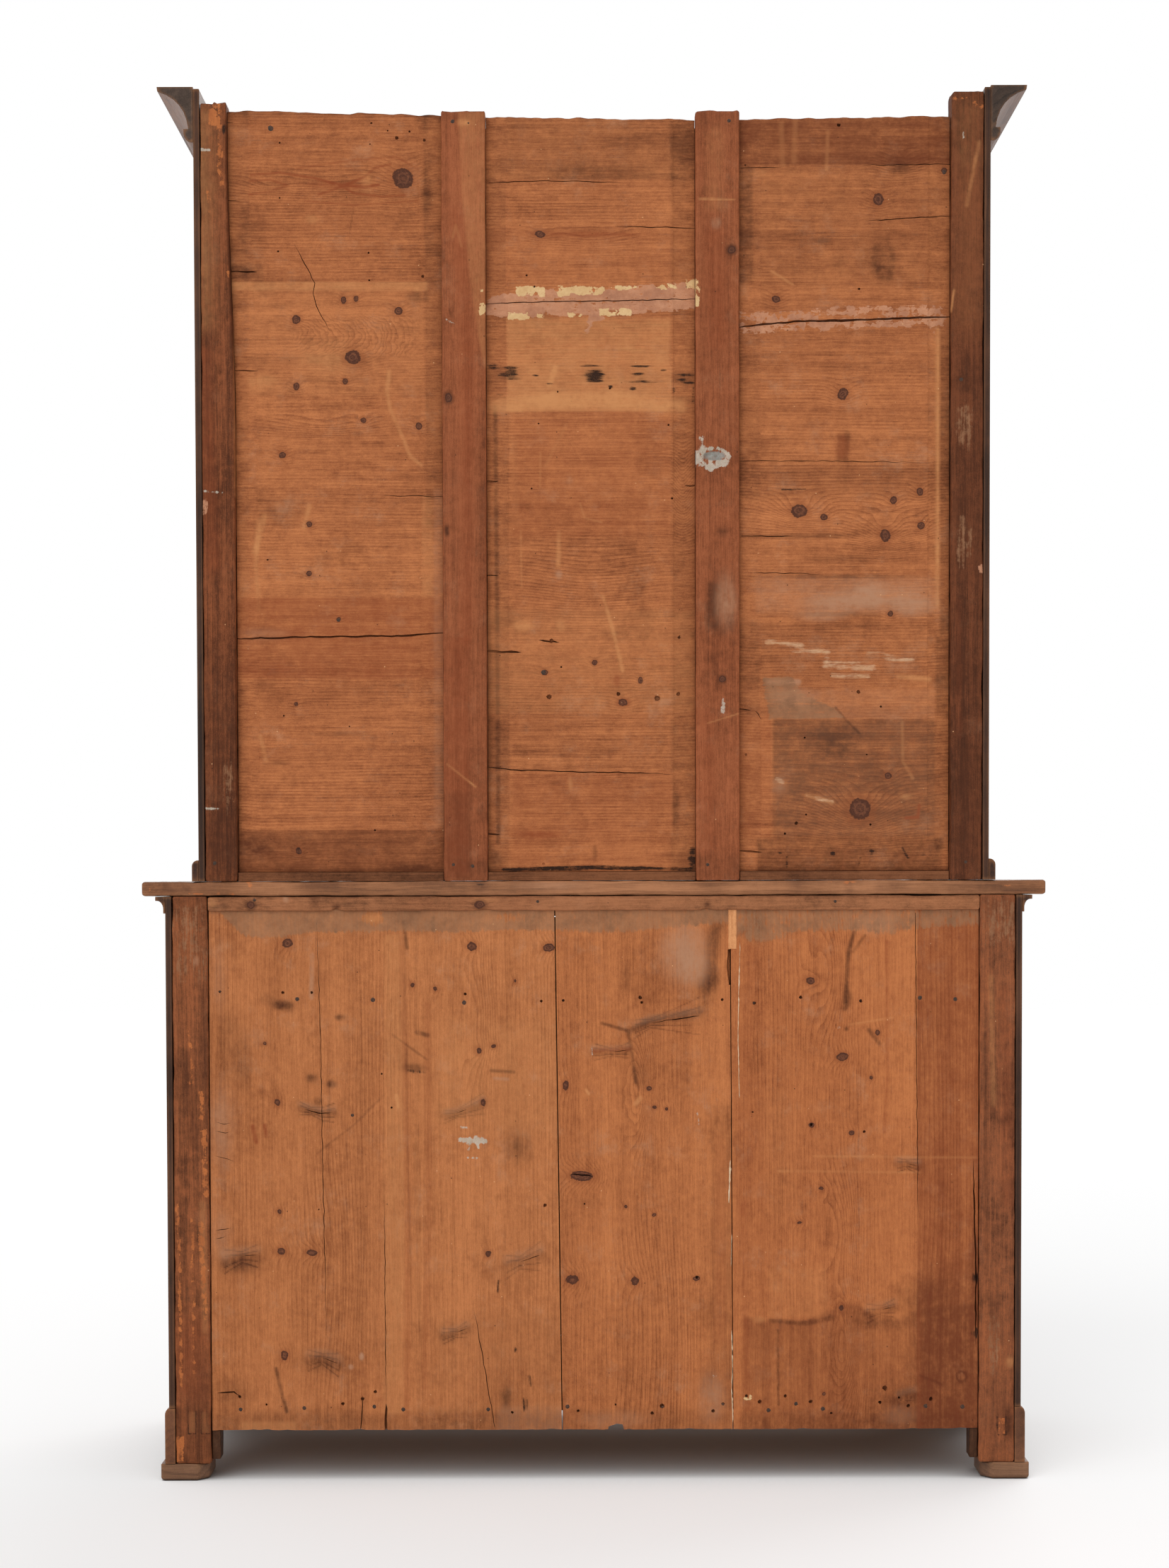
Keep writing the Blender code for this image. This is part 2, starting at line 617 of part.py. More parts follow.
def build_door(name, carrier, side, jamb, free, levels, front_depth):
    """Door hung at its jamb edge on two barrel hinges that stand proud of the front face."""
    sill, head = levels
    axis_x = jamb - side * DOOR_GAP / 2
    add_group(name, (axis_x, at_depth(front_depth + HINGE_OFFSET), (sill + head) / 2), carrier)
    x_low, x_high = sorted((jamb - side * DOOR_GAP, free))
    low, high = (x_low, sill + DOOR_GAP), (x_high, head - DOOR_GAP)
    frame = add_piece(f"{name}_frame", door_frame(low, high, front_depth), "walnut", name)
    add_piece(f"{name}_panel", door_panel(low, high, front_depth), "walnut", name)
    half = HINGE_LENGTH / 2
    for level, z in (("lower", low[1] + HINGE_INSET), ("upper", high[1] - HINGE_INSET)):
        profile = [(HINGE_RADIUS / 3, -half - HINGE_RADIUS)]
        profile += arc((0, -half), (HINGE_RADIUS, HINGE_RADIUS / 2), -60, 0)
        profile += arc((0, half), (HINGE_RADIUS, HINGE_RADIUS / 2), 0, 60)
        profile += [(HINGE_RADIUS / 3, half + HINGE_RADIUS)]
        barrel = turned(profile, (axis_x, at_depth(front_depth + HINGE_OFFSET), z), "z")
        add_piece(f"{name}_hinge_{level}", barrel, "iron", carrier, round_piece=True)
    return frame


def build_door_pair(prefix, carrier, jamb, meeting, levels, front_depth):
    """Left and right door of one body. The right-hand door holds the key."""
    build_door(f"{prefix}_door_left", carrier, -1, -jamb, -meeting, levels, front_depth)
    right = f"{prefix}_door_right"
    frame = build_door(right, carrier, 1, jamb, meeting, levels, front_depth)
    place = (meeting + KEY_INSET, (levels[0] + levels[1]) / 2)
    build_key(f"{prefix}_key", right, frame, place, front_depth)


def grooved_post(low, high, thick, grooved_sides):
    """Plan of an upright with a panel groove in one or both of its narrow faces."""
    near, far = BACK_PANEL_SET - GAP, BACK_PANEL_FRONT + GAP
    outline = []
    for x, way in ((low, 1), (high, -1)):
        run = [(x, 0.0)]
        if x in grooved_sides:
            run += [(x, near), (x + way * GROOVE_DEPTH, near), (x + way * GROOVE_DEPTH, far), (x, far)]
        run.append((x, thick))
        outline += run if way == 1 else run[::-1]
    return [(x, at_depth(depth)) for x, depth in outline]


def build_upper_case():
    for side, side_name, drop in ((-1, "left", POST_DROP_LEFT), (1, "right", POST_DROP_RIGHT)):
        inner = side * UPPER_POST_INNER
        low, high = sorted((inner, side * (UPPER_SIDE_INNER - GAP)))
        post = prism(grooved_post(low, high, POST_DEPTH, (inner,)), "z", UPPER_FOOT, UPPER_TOP - drop)
        add_piece(f"upper_post_back_{side_name}", post, "post_wood", "upper_body")
        low, high = sorted((side * UPPER_SIDE_INNER, side * UPPER_HALF))
        board = box(low, high, 0.0, UPPER_INSIDE_FRONT, UPPER_FOOT, UPPER_FRAME_TOP)
        add_piece(f"upper_side_{side_name}", board, "walnut", "upper_body")
    x_lines = [-UPPER_HALF, -UPPER_POST_INNER, UPPER_POST_INNER, UPPER_HALF]
    z_lines = [UPPER_FOOT, UPPER_DOOR_SILL, UPPER_DOOR_HEAD, UPPER_FRAME_TOP]
    frame = lattice(x_lines, z_lines, {(1, 1)}, UPPER_DEPTH - FRAME_THICK, UPPER_DEPTH)
    add_piece("upper_front_frame", frame, "walnut", "upper_body")
    bottom = upper_board(UPPER_FOOT, UPPER_BOTTOM_THICK, UPPER_BOTTOM_RECESS)
    add_piece("upper_bottom", bottom, "inside_pine", "upper_body")
    inside = BACK_PANEL_FRONT + GAP
    add_piece("upper_top", upper_board(UPPER_CEILING, UPPER_SHELF_THICK, inside), "inside_pine", "upper_body")
    shelves = UPPER_SHELF_SPACES - 1
    clear = (UPPER_CEILING - UPPER_FLOOR - shelves * UPPER_SHELF_THICK) / UPPER_SHELF_SPACES
    for number in range(1, UPPER_SHELF_SPACES):
        z = UPPER_FLOOR + number * clear + (number - 1) * UPPER_SHELF_THICK
        shelf = upper_board(z, UPPER_SHELF_THICK, inside, SHELF_SETBACK)
        add_piece(f"upper_shelf_{number}", shelf, "inside_pine", "upper_body")


def build_upper_back():
    half = MUNTIN_WIDTH / 2
    for name, x in zip(("left", "right"), MUNTIN_CENTRES):
        outline = grooved_post(x - half, x + half, MUNTIN_THICK, (x - half, x + half))
        muntin = prism(outline, "z", UPPER_FOOT, UPPER_TOP - MUNTIN_DROP)
        add_piece(f"upper_muntin_{name}", muntin, "post_wood", "upper_body")
    bays = (
        ("left", -UPPER_POST_INNER, MUNTIN_CENTRES[0] - half),
        ("middle", MUNTIN_CENTRES[0] + half, MUNTIN_CENTRES[1] - half),
        ("right", MUNTIN_CENTRES[1] + half, UPPER_POST_INNER),
    )
    tongue = GROOVE_DEPTH - GROOVE_CLEAR
    foot = UPPER_FLOOR + GAP
    top = UPPER_TOP - BACK_PANEL_DROP
    for name, low, high in bays:
        steps = (
            (-tongue, 0.0, BACK_PANEL_FRONT),
            (-tongue, 0.0, BACK_PANEL_SET),
            (GROOVE_CLEAR, 0.0, BACK_PANEL_SET),
            (BACK_PANEL_MARGIN, BACK_PANEL_FOOT, BACK_PANEL_SET - BACK_PANEL_RISE),
        )
        rings = []
        for inset, rise, depth in steps:
            rings.append(rectangle((low + inset, foot + rise), (high - inset, top), at_depth(depth)))
        add_piece(f"upper_back_panel_{name}", loft(rings), "old_pine", "upper_body")


def build_cornice():
    fillet = UPPER_TOP - CORNICE_FILLET
    hollow_foot = fillet - CORNICE_HOLLOW
    bead_foot = hollow_foot - BEAD_HEIGHT
    bead_fillet = BEAD_HEIGHT / 4
    profile = [(GAP, UPPER_TOP), (GAP, bead_foot)]
    bead_start = CORNICE_FOOT / 2
    bead_size = (BEAD_PROUD - bead_start, BEAD_HEIGHT - bead_fillet)
    profile += arc((bead_start, hollow_foot - bead_fillet), bead_size, -90, 0)
    profile += [(BEAD_PROUD, hollow_foot)]
    lip = CORNICE_PROUD - CORNICE_FILLET / 7
    pull = (CORNICE_FOOT * 1.75, fillet - CORNICE_HOLLOW / 5)
    profile += curve((CORNICE_FOOT, hollow_foot), pull, (lip, fillet))
    profile += [(CORNICE_PROUD, UPPER_TOP)]
    shape = moulding(profile, UPPER_HALF, UPPER_DEPTH)
    add_piece("cornice", shape, "grey_walnut", "upper_body", round_piece=True)
    top = UPPER_FOOT + UPPER_MOULDING_HEIGHT
    profile = [(GAP, top), (GAP, UPPER_FOOT), (UPPER_MOULDING_PROUD, UPPER_FOOT)]
    crown = (UPPER_MOULDING_PROUD - UPPER_MOULDING_ROUND, top - UPPER_MOULDING_ROUND)
    profile += arc(crown, (UPPER_MOULDING_ROUND,) * 2, 0, 90)
    shape = moulding(profile, UPPER_HALF, UPPER_DEPTH)
    add_piece("upper_base_moulding", shape, "walnut", "upper_body", round_piece=True)


def main():
    clear_scene()
    add_group("sideboard", (0, 0, 0))
    add_group("upper_body", (0, 0, TABLE_HEIGHT), "sideboard")
    build_feet()
    build_plinth()
    build_base_case()
    build_base_back()
    build_table_top()
    half_stile = CENTRE_STILE / 2
    build_drawer("left", -BASE_POST_INNER, -half_stile)
    build_drawer("right", half_stile, BASE_POST_INNER)
    base_levels = (BASE_DOOR_SILL, BASE_DOOR_HEAD)
    build_door_pair("base", "sideboard", BASE_POST_INNER, half_stile + DOOR_GAP, base_levels, BASE_DEPTH)
    build_upper_case()
    build_upper_back()
    build_cornice()
    upper_levels = (UPPER_DOOR_SILL, UPPER_DOOR_HEAD)
    build_door_pair("upper", "upper_body", UPPER_POST_INNER, MEETING_GAP / 2, upper_levels, UPPER_DEPTH)


main()
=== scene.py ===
import math

import bmesh
import bpy
import numpy as np
from mathutils import Matrix, Vector, noise
from mathutils.bvhtree import BVHTree


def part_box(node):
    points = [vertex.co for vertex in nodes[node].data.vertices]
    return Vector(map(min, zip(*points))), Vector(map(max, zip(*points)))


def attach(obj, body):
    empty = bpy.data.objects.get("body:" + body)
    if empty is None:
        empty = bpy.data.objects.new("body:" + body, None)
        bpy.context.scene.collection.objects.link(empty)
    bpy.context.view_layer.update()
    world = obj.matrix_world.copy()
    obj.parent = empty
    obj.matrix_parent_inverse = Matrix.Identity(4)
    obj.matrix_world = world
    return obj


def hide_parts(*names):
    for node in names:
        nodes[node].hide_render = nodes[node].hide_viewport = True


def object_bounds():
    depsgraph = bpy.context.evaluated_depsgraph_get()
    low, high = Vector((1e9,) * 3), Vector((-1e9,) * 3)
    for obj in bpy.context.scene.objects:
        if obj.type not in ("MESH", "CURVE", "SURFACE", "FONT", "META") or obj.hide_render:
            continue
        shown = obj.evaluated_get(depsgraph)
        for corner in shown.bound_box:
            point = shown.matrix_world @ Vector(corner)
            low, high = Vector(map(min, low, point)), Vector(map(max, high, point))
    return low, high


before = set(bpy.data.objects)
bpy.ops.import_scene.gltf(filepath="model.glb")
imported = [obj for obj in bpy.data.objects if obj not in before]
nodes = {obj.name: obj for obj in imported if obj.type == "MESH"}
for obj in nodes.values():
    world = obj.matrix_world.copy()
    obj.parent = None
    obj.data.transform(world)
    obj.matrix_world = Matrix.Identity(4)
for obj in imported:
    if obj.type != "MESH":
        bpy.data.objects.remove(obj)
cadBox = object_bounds()
backY = cadBox[1].y  # the plane that stands against a wall

# Camera, square to the back as in the photo
camera = {
    "imageWidth": 1652,
    "imageHeight": 2216,
    "distance": 4.0,  # from the back plane
    "sideways": 0.0155,
    "eyeHeight": 1.004,
    "tiltDown": 1.8,  # degrees
    "roll": -0.14,
    "lens": 55.4,
    "sensor": 36.0,
    "shiftUp": 0.1085,
}
eye = np.array((camera["sideways"], backY + camera["distance"], camera["eyeHeight"]))
tilt = math.radians(camera["tiltDown"])
roll = math.radians(camera["roll"])
lookAxis = np.array((0.0, -math.cos(tilt), -math.sin(tilt)))
levelAxis = np.array((-1.0, 0.0, 0.0))
plumbAxis = np.cross(levelAxis, lookAxis)
rightAxis = math.cos(roll) * levelAxis + math.sin(roll) * plumbAxis
upAxis = math.cos(roll) * plumbAxis - math.sin(roll) * levelAxis
focalPixels = camera["lens"] / camera["sensor"] * camera["imageHeight"]
middleColumn = camera["imageWidth"] / 2
middleRow = camera["imageHeight"] * (0.5 + camera["shiftUp"])


def pixelsOf(points):  # where points of the object lie in the photo
    away = np.asarray(points) - eye
    reach = away @ lookAxis
    columns = middleColumn + focalPixels * (away @ rightAxis) / reach
    rows = middleRow - focalPixels * (away @ upAxis) / reach
    return columns, rows


def spot(column, row, depth=0.0):  # the point that a pixel shows, on a plane behind the back
    ray = lookAxis + rightAxis * (column - middleColumn) / focalPixels
    ray = ray + upAxis * (middleRow - row) / focalPixels
    point = eye + ray * (backY - depth - eye[1]) / ray[1]
    return float(point[0]), float(point[2])


def link(name, data):
    holder = bpy.data.objects.new(name, data)
    bpy.context.scene.collection.objects.link(holder)
    return holder


def placeCamera():
    lensData = bpy.data.cameras.new("backCamera")
    lensData.lens = camera["lens"]
    lensData.sensor_width = camera["sensor"]
    lensData.shift_y = camera["shiftUp"]
    lensData.clip_end = 100
    holder = link("backCamera", lensData)
    axes = Matrix((rightAxis, upAxis, -lookAxis)).transposed().to_4x4()
    holder.matrix_world = Matrix.Translation(eye) @ axes
    bpy.context.scene.camera = holder


# Shader sockets with arithmetic
class Wire:
    def __init__(self, tree, socket=None):
        self.tree = tree
        self.socket = socket

    def make(self, kind, settings=None, sockets=None, out=0):
        node = self.tree.nodes.new("ShaderNode" + kind)
        for name, value in (settings or {}).items():
            if name == "stops":
                ramp = node.color_ramp
                while len(ramp.elements) < len(value):
                    ramp.elements.new(0.5)
                for element, (position, colour) in zip(ramp.elements, value):
                    element.position = position
                    element.color = colour
            else:
                setattr(node, name, value)
        for name, value in (sockets or {}).items():
            if isinstance(value, Wire):
                self.tree.links.new(value.socket, node.inputs[name])
            else:
                node.inputs[name].default_value = value
        if isinstance(out, tuple):
            return [Wire(self.tree, node.outputs[name]) for name in out]
        return Wire(self.tree, node.outputs[out]) if node.outputs else None

    def math(self, operation, *values):
        return self.make("Math", {"operation": operation}, dict(enumerate(values)))

    def __add__(self, other):
        return self.math("ADD", self, other)

    def __radd__(self, other):
        return self.math("ADD", other, self)

    def __sub__(self, other):
        return self.math("SUBTRACT", self, other)

    def __rsub__(self, other):
        return self.math("SUBTRACT", other, self)

    def __mul__(self, other):
        return self.math("MULTIPLY", self, other)

    def __rmul__(self, other):
        return self.math("MULTIPLY", other, self)

    def __truediv__(self, other):
        return self.math("DIVIDE", self, other)

    def __pow__(self, other):
        return self.math("POWER", self, other)

    def least(self, other):
        return self.math("MINIMUM", self, other)

    def most(self, other):
        return self.math("MAXIMUM", self, other)

    def fract(self):
        return self.math("FRACT", self)

    def between(self, low, high):  # 0 at low, 1 at high, eased
        settings = {"interpolation_type": "SMOOTHSTEP"}
        return self.make("MapRange", settings, {0: self, 1: low, 2: high})

    def stretched(self, factors):  # a vector times a vector
        return self.make("VectorMath", {"operation": "MULTIPLY"}, {0: self, 1: factors})

    def moved(self, offset):
        return self.make("VectorMath", {"operation": "ADD"}, {0: self, 1: offset})

    def nearTo(self, centre, sizes):  # squared distance from a spot, 1 at its rim
        local = self.stretched((1 / sizes[0], 1 / sizes[1], 0.0))
        local = local.moved((-centre[0] / sizes[0], -centre[1] / sizes[1], 0.0))
        return self.make("VectorMath", {"operation": "DOT_PRODUCT"}, {0: local, 1: local}, 1)

    def mixed(self, other, factor):  # a colour with another
        other = other if isinstance(other, Wire) else tint(*other)
        return self.make("Mix", {"data_type": "RGBA"}, {0: factor, 6: self, 7: other}, 2)

    def pick(self, first, second):  # a factor that goes from one colour to another
        return self.make("Mix", {"data_type": "RGBA"}, {0: self, 6: tint(*first), 7: tint(*second)}, 2)

    def ramp(self, factor, positions, colours):
        stops = [(position, tint(*colour)) for position, colour in zip(positions, colours)]
        return self.make("ValToRGB", {"stops": stops}, {0: factor})

    def parts(self):
        return self.make("SeparateXYZ", None, {0: self}, (0, 1, 2))

    def joined(self, x, y, z):
        return self.make("CombineXYZ", None, {0: x, 1: y, 2: z})

    def layer(self, kind):  # marks painted on the mesh
        return self.make("Attribute", {"attribute_name": kind}, out="Fac")

    def grainNoise(self, along, across, detail=2.0, roughness=0.5):
        sockets = {"Vector": self.stretched((along, across, across)), "Scale": 1.0}
        sockets.update({"Detail": detail, "Roughness": roughness})
        return self.make("TexNoise", {"noise_dimensions": "3D"}, sockets)

    def evenNoise(self, scale, detail=2.0, roughness=0.5):
        return self.grainNoise(scale, scale, detail, roughness)


def tint(red, green, blue):  # a colour from a paint chart, 0 to 255, made linear
    shares = [part / 255 for part in (red, green, blue)]
    linear = [s / 12.92 if s <= 0.04045 else ((s + 0.055) / 1.055) ** 2.4 for s in shares]
    return (*linear, 1.0)


def newFinish(name):
    material = bpy.data.materials.new(name)
    material.use_nodes = True
    material.node_tree.nodes.clear()
    return material, Wire(material.node_tree)


def closeFinish(start, sockets):
    shader = start.make("BsdfPrincipled", None, sockets)
    start.make("OutputMaterial", None, {"Surface": shader})


softMarks = {  # stains that fade out into the wood; some dark ones are painted shade beside posts and under the table top and rail
    "dark": (74, 40, 24),
    "pale": (203, 139, 88),
    "red": (138, 68, 38),
    "grey": (178, 130, 99),
}
# films, flakes and scorches with a torn edge: one row of numbers for each kind
filmColumns = ("colour", "other", "flaky", "ragged", "chips", "streaky", "edge", "cover", "height")
filmMarks = {
    "dirt": ((160, 115, 83), (134, 94, 67), 0.8, 0.7, 0.0, 0.9, (0.3, 0.62), 0.72, 0.0),
    "worn": ((202, 120, 66), (168, 96, 54), 1.3, 0.5, 0.3, 0.5, (0.48, 0.66), 0.8, -0.3),
    "chalk": ((202, 145, 111), (168, 114, 86), 1.3, 0.9, 0.5, 0.7, (0.42, 0.6), 0.88, 0.5),
    "cream": ((226, 192, 140), (206, 164, 114), 1.5, 0.5, 0.4, 0.0, (0.46, 0.54), 0.95, 0.5),
    "white": ((204, 194, 178), (172, 160, 142), 1.2, 0.6, 0.3, 0.5, (0.42, 0.66), 0.8, 0.2),
    "scuff": ((216, 178, 142), (196, 148, 108), 0.9, 1.6, 0.0, 2.0, (0.3, 1.2), 0.7, 0.0),
    "steel": ((158, 162, 156), (102, 92, 82), 0.9, 0.3, 0.2, 0.2, (0.34, 0.6), 0.86, -0.3),
    "char": ((30, 20, 15), (58, 36, 25), 0.3, 0.9, 0.0, 1.5, (0.26, 0.86), 0.94, -0.2),
}
grainAxes = {"X": (0, 2, 1), "Y": (1, 2, 0), "Z": (2, 0, 1)}


def onBoard(look, column, row):  # along and across the grain, where a pixel falls on a board
    x, z = spot(column, row, look["depth"])
    return (x, z) if look["along"] == "X" else (z, x)


def woodFinish(name, look):
    material, start = newFinish(name)
    place = start.make("TexCoord", out="Object")
    axes = place.parts()
    along, across, through = [axes[k] for k in grainAxes[look["along"]]]
    grain = start.joined(along, across, through)
    for low, high in look.get("turns", ()):  # framed work: grain turns on rails
        inside = axes[0].math("GREATER_THAN", axes[0], low) * axes[0].math("LESS_THAN", axes[0], high)
        turned = start.joined(*[axes[k] for k in grainAxes["X"]])
        grain = start.make("Mix", {"data_type": "VECTOR"}, {0: inside, 4: grain, 5: turned}, 1)
    if "turns" in look:
        along, across, through = grain.parts()
    grain = grain.moved((look["seed"] * 3.7, look["seed"] * 1.9, look["seed"] * 0.8))

    # growth rings, bent round the knots
    drift = grain.grainNoise(0.9, 5.5, 3.0, 0.6) - 0.5
    waver = grain.grainNoise(5.0, 46.0) - 0.5
    rings = across * look["rings"] + through * (look["rings"] * 0.6)
    rings = rings + drift * look["drift"] + waver * 1.1
    sway = start.make("TexNoise", None, {"Vector": place, "Scale": 48.0, "Detail": 2.0}, "Color")
    swing = look["sway"]
    flat = start.joined(along, across, 0.0).moved(sway.stretched((swing, swing, 0.0)))
    flat = flat.moved((-swing / 2, -swing / 2, 0.0))
    pixel = look["pixel"]
    knotNear = None
    for column, row, radius, stretch, *strength in look.get("knots", ()):
        size = radius * pixel
        nearness = flat.nearTo(onBoard(look, column, row), (size * stretch, size))
        rings = rings + nearness.math("POWER", 0.86, nearness) * (look["rings"] * size * 1.5)
        seen = nearness + ((1 - strength[0]) * 1.2 if strength else 0.2)
        knotNear = seen if knotNear is None else knotNear.least(seen)
    figureNear = None
    for column, row, halfLength, halfWidth, count in look.get("figures", ()):
        nearness = flat.nearTo(onBoard(look, column, row), (halfLength * pixel, halfWidth * pixel))
        rings = rings + nearness.math("POWER", 0.37, nearness) * count
        figureNear = nearness if figureNear is None else figureNear.least(nearness)
    for x, z, halfLength, halfWidth, count in look.get("cathedrals", ()):
        figure = start.joined(axes[look.get("cathedralAxis", 0)], axes[2], 0.0)
        figure = figure.moved(sway.stretched((0.03, 0.03, 0.0)))
        sizes = (halfWidth, halfLength) if look["along"] == "Z" else (halfLength, halfWidth)
        nearness = figure.nearTo((x + 0.015, z + 0.015), sizes)
        rings = rings + nearness.math("POWER", 0.37, nearness) * count

    def yearly(years):  # darkens slowly over the year, then stops short
        late = years.fract()
        return late ** look["ringSharp"] * late.between(1.0, 0.9)

    wave = yearly(rings)
    flame = None
    for column, row, length, halfWidth, count in look.get("flames", ()):  # nested arcs beside a spot
        centre = onBoard(look, column, row)
        local = flat.moved((-centre[0], -centre[1], 0.0))
        reach, side, _ = local.stretched((1 / (length * pixel), 1 / (halfWidth * pixel), 0.0)).parts()
        bends = place.evenNoise(24.0, 3.0, 0.6) - 0.5
        arcs = (reach * reach + side * side * 0.2) ** 0.5 * count + bends * 7.0 + waver * 1.4
        flame = reach.between(0.0, 0.2) * reach.between(1.05, 0.8) * (side * side).between(1.0, 0.3)
        wave = wave * (1.0 - flame) + yearly(arcs) * flame
    painted = look.get("painted", ())  # kinds of marks that the mesh carries
    show = grain.grainNoise(1.3, 9.0, 3.0, 0.6).between(0.36, 0.74)
    if knotNear is not None:  # grain shows most where it flows round a knot
        show = show.most(knotNear.between(20.0, 3.0) * 0.7)
    if figureNear is not None:
        show = show.most(figureNear.between(3.4, 0.6) * 0.95)
    if flame is not None:
        show = show.most(flame)
    if "lined" in painted:  # places with plain grain lines
        show = show.most(start.layer("lined"))

    # fibres, streaks, bands and blotches
    fibre = grain.grainNoise(22.0, 620.0, 2.0, 0.65) - 0.5
    streak = grain.grainNoise(1.8, 78.0, 4.0, 0.65) - 0.5
    sand = grain.grainNoise(130.0, 300.0, 3.0, 0.7) - 0.5
    band = grain.grainNoise(0.5, 13.0) - 0.5
    blotch = place.evenNoise(6.0, 4.0, 0.6) - 0.5
    grit = place.evenNoise(640.0, 1.0) - 0.5
    mottle = place.evenNoise(64.0, 4.0, 0.65) - 0.5
    shade = wave * (show * 0.9 + 0.1) * look["ringShow"] + mottle * look["mottle"]
    shade = shade + fibre * look["fibre"] + streak * look["streak"] + band * look["band"]
    shade = shade + blotch * look["blotch"] + grit * look["grit"] + sand * look["sand"] + 0.3
    colour = start.ramp(shade, (0.0, 0.45, 1.0), (look["pale"], look["mid"], look["dark"]))
    soil = place.evenNoise(8.0, 6.0, 0.7) + fibre * 0.15 + streak * 0.2
    colour = colour.mixed(look["dark"], soil.between(0.5, 0.82) * look["stain"])
    haze = place.evenNoise(15.0, 6.0, 0.75) + fibre * 0.2
    colour = colour.mixed((190, 140, 106), haze.between(0.52, 0.8) * look["haze"])
    rough = fibre * 0.12 + blotch * 0.14 + look["rough"]
    wax = look.get("wax", 0.0)
    if "agedBack" in look:  # the dry old edges on the side of the wall
        oldColour = start.ramp(shade + blotch * 0.8, (0.0, 0.45, 1.0), look["agedBack"])
        reach = look.get("agedReach", (0.006, 0.0015))
        onBack = axes[1].between(backY - reach[0], backY - reach[1])
        colour = colour.mixed(oldColour, onBack)
        rough = rough + onBack * 0.3
        wax = (1.0 - onBack) * wax
    height = wave * (look["ringShow"] * 0.5) + fibre * 0.5 + streak * 0.7 + grit * 0.3

    if painted:
        ragged = grain.grainNoise(60.0, 160.0, 4.0, 0.7) - 0.5
        flaky = place.evenNoise(110.0, 4.0, 0.65) - 0.5
        cloud = place.evenNoise(26.0, 3.0, 0.6) - 0.5
        streaky = grain.grainNoise(13.0, 230.0, 3.0, 0.6) - 0.5
        chipPlace = place.moved(sway.stretched((0.006, 0.006, 0.006)))
        cells = start.make("TexVoronoi", None, {"Vector": chipPlace, "Scale": 105.0}, "Color")
        chips = cells.parts()[0] - 0.5
        uneven = streak * 0.9 + ragged * 0.9 + cloud * 0.9 + flaky * 0.9 + 1.0
        for kind, chart in softMarks.items():
            if kind in painted:
                colour = colour.mixed(chart, (start.layer(kind) * uneven).between(0.0, 1.0))
    if knotNear is not None:
        crumb = place.evenNoise(260.0, 3.0, 0.7) - 0.5
        edge = knotNear * (crumb * 0.9 + mottle * 0.7 + 1.0) + fibre * 0.25
        years = ((edge.most(0.0) ** 0.5) * 3.4).fract()
        heart = edge.between(1.0, 0.7) * (years * 0.7 + crumb * 1.4 + 0.1)
        rim = (edge - 0.98).math("ABSOLUTE", edge - 0.98).between(0.32, 0.1)
        colour = colour.mixed(look["knotHalo"], edge.between(4.2, 1.1) * 0.4)
        colour = colour.mixed(look["knotPale"], edge.between(1.3, 0.85) * (crumb * 0.9 + 0.9))
        colour = colour.mixed(look["knotDark"], heart)
        colour = colour.mixed(look["knotDark"], rim * 0.8)
    for kind, numbers in filmMarks.items():
        if kind in painted:
            film = dict(zip(filmColumns, numbers))
            amount = start.layer(kind)
            cover = amount + flaky * film["flaky"] + ragged * film["ragged"]
            cover = cover + chips * film["chips"] + streaky * film["streaky"]
            cover = (cover * amount.between(0.02, 0.3)).between(*film["edge"])
            toned = (cloud + flaky * 0.5).between(-0.2, 0.25).pick(film["colour"], film["other"])
            colour = colour.mixed(toned, cover * (grit * 0.6 + ragged * 0.7 + cloud * 0.8 + film["cover"]))
            height = height + cover * film["height"]

    # small specks, and painted shade with grime in the corners
    speckCells = {"Vector": place, "Scale": 84.0}
    apart, cellColour = start.make("TexVoronoi", None, speckCells, ("Distance", "Color"))
    cellTone = cellColour.parts()[0]
    speck = apart.between(0.13, 0.05) * cellTone.between(0.93, 0.97)
    colour = colour.mixed((46, 26, 17), speck * look["specks"])
    dust = apart.between(0.11, 0.05) * cellTone.between(0.05, 0.02)
    colour = colour.mixed((222, 170, 122), dust * look["specks"])
    # painted shade: ambient occlusion darkens the colour in corners, creases and hollows, mixed with grime
    crevice = start.make("AmbientOcclusion", {"samples": 6}, {"Distance": look["grimeReach"]}, "AO")
    grime = (1.0 - crevice + blotch * 0.35).between(0.3, 0.85)
    colour = colour.mixed(look["grimeColour"], grime * look["grime"])
    if "rubbed" in look:
        corner = start.make("AmbientOcclusion", {"samples": 6, "inside": True}, {"Distance": 0.007}, "AO")
        rub = (corner + blotch * 0.5 + streak * 0.5).between(0.72, 0.45)
        colour = colour.mixed(look["rubbed"], rub * 0.5)

    bump = start.make("Bump", None, {"Strength": look["bump"], "Distance": 0.0008, "Height": height})
    closeFinish(start, {
        "Base Color": colour,
        "Roughness": rough,
        "Normal": bump,
        "Specular IOR Level": look["gloss"],
        "Coat Weight": wax,
        "Coat Roughness": 0.3,
    })
    return material


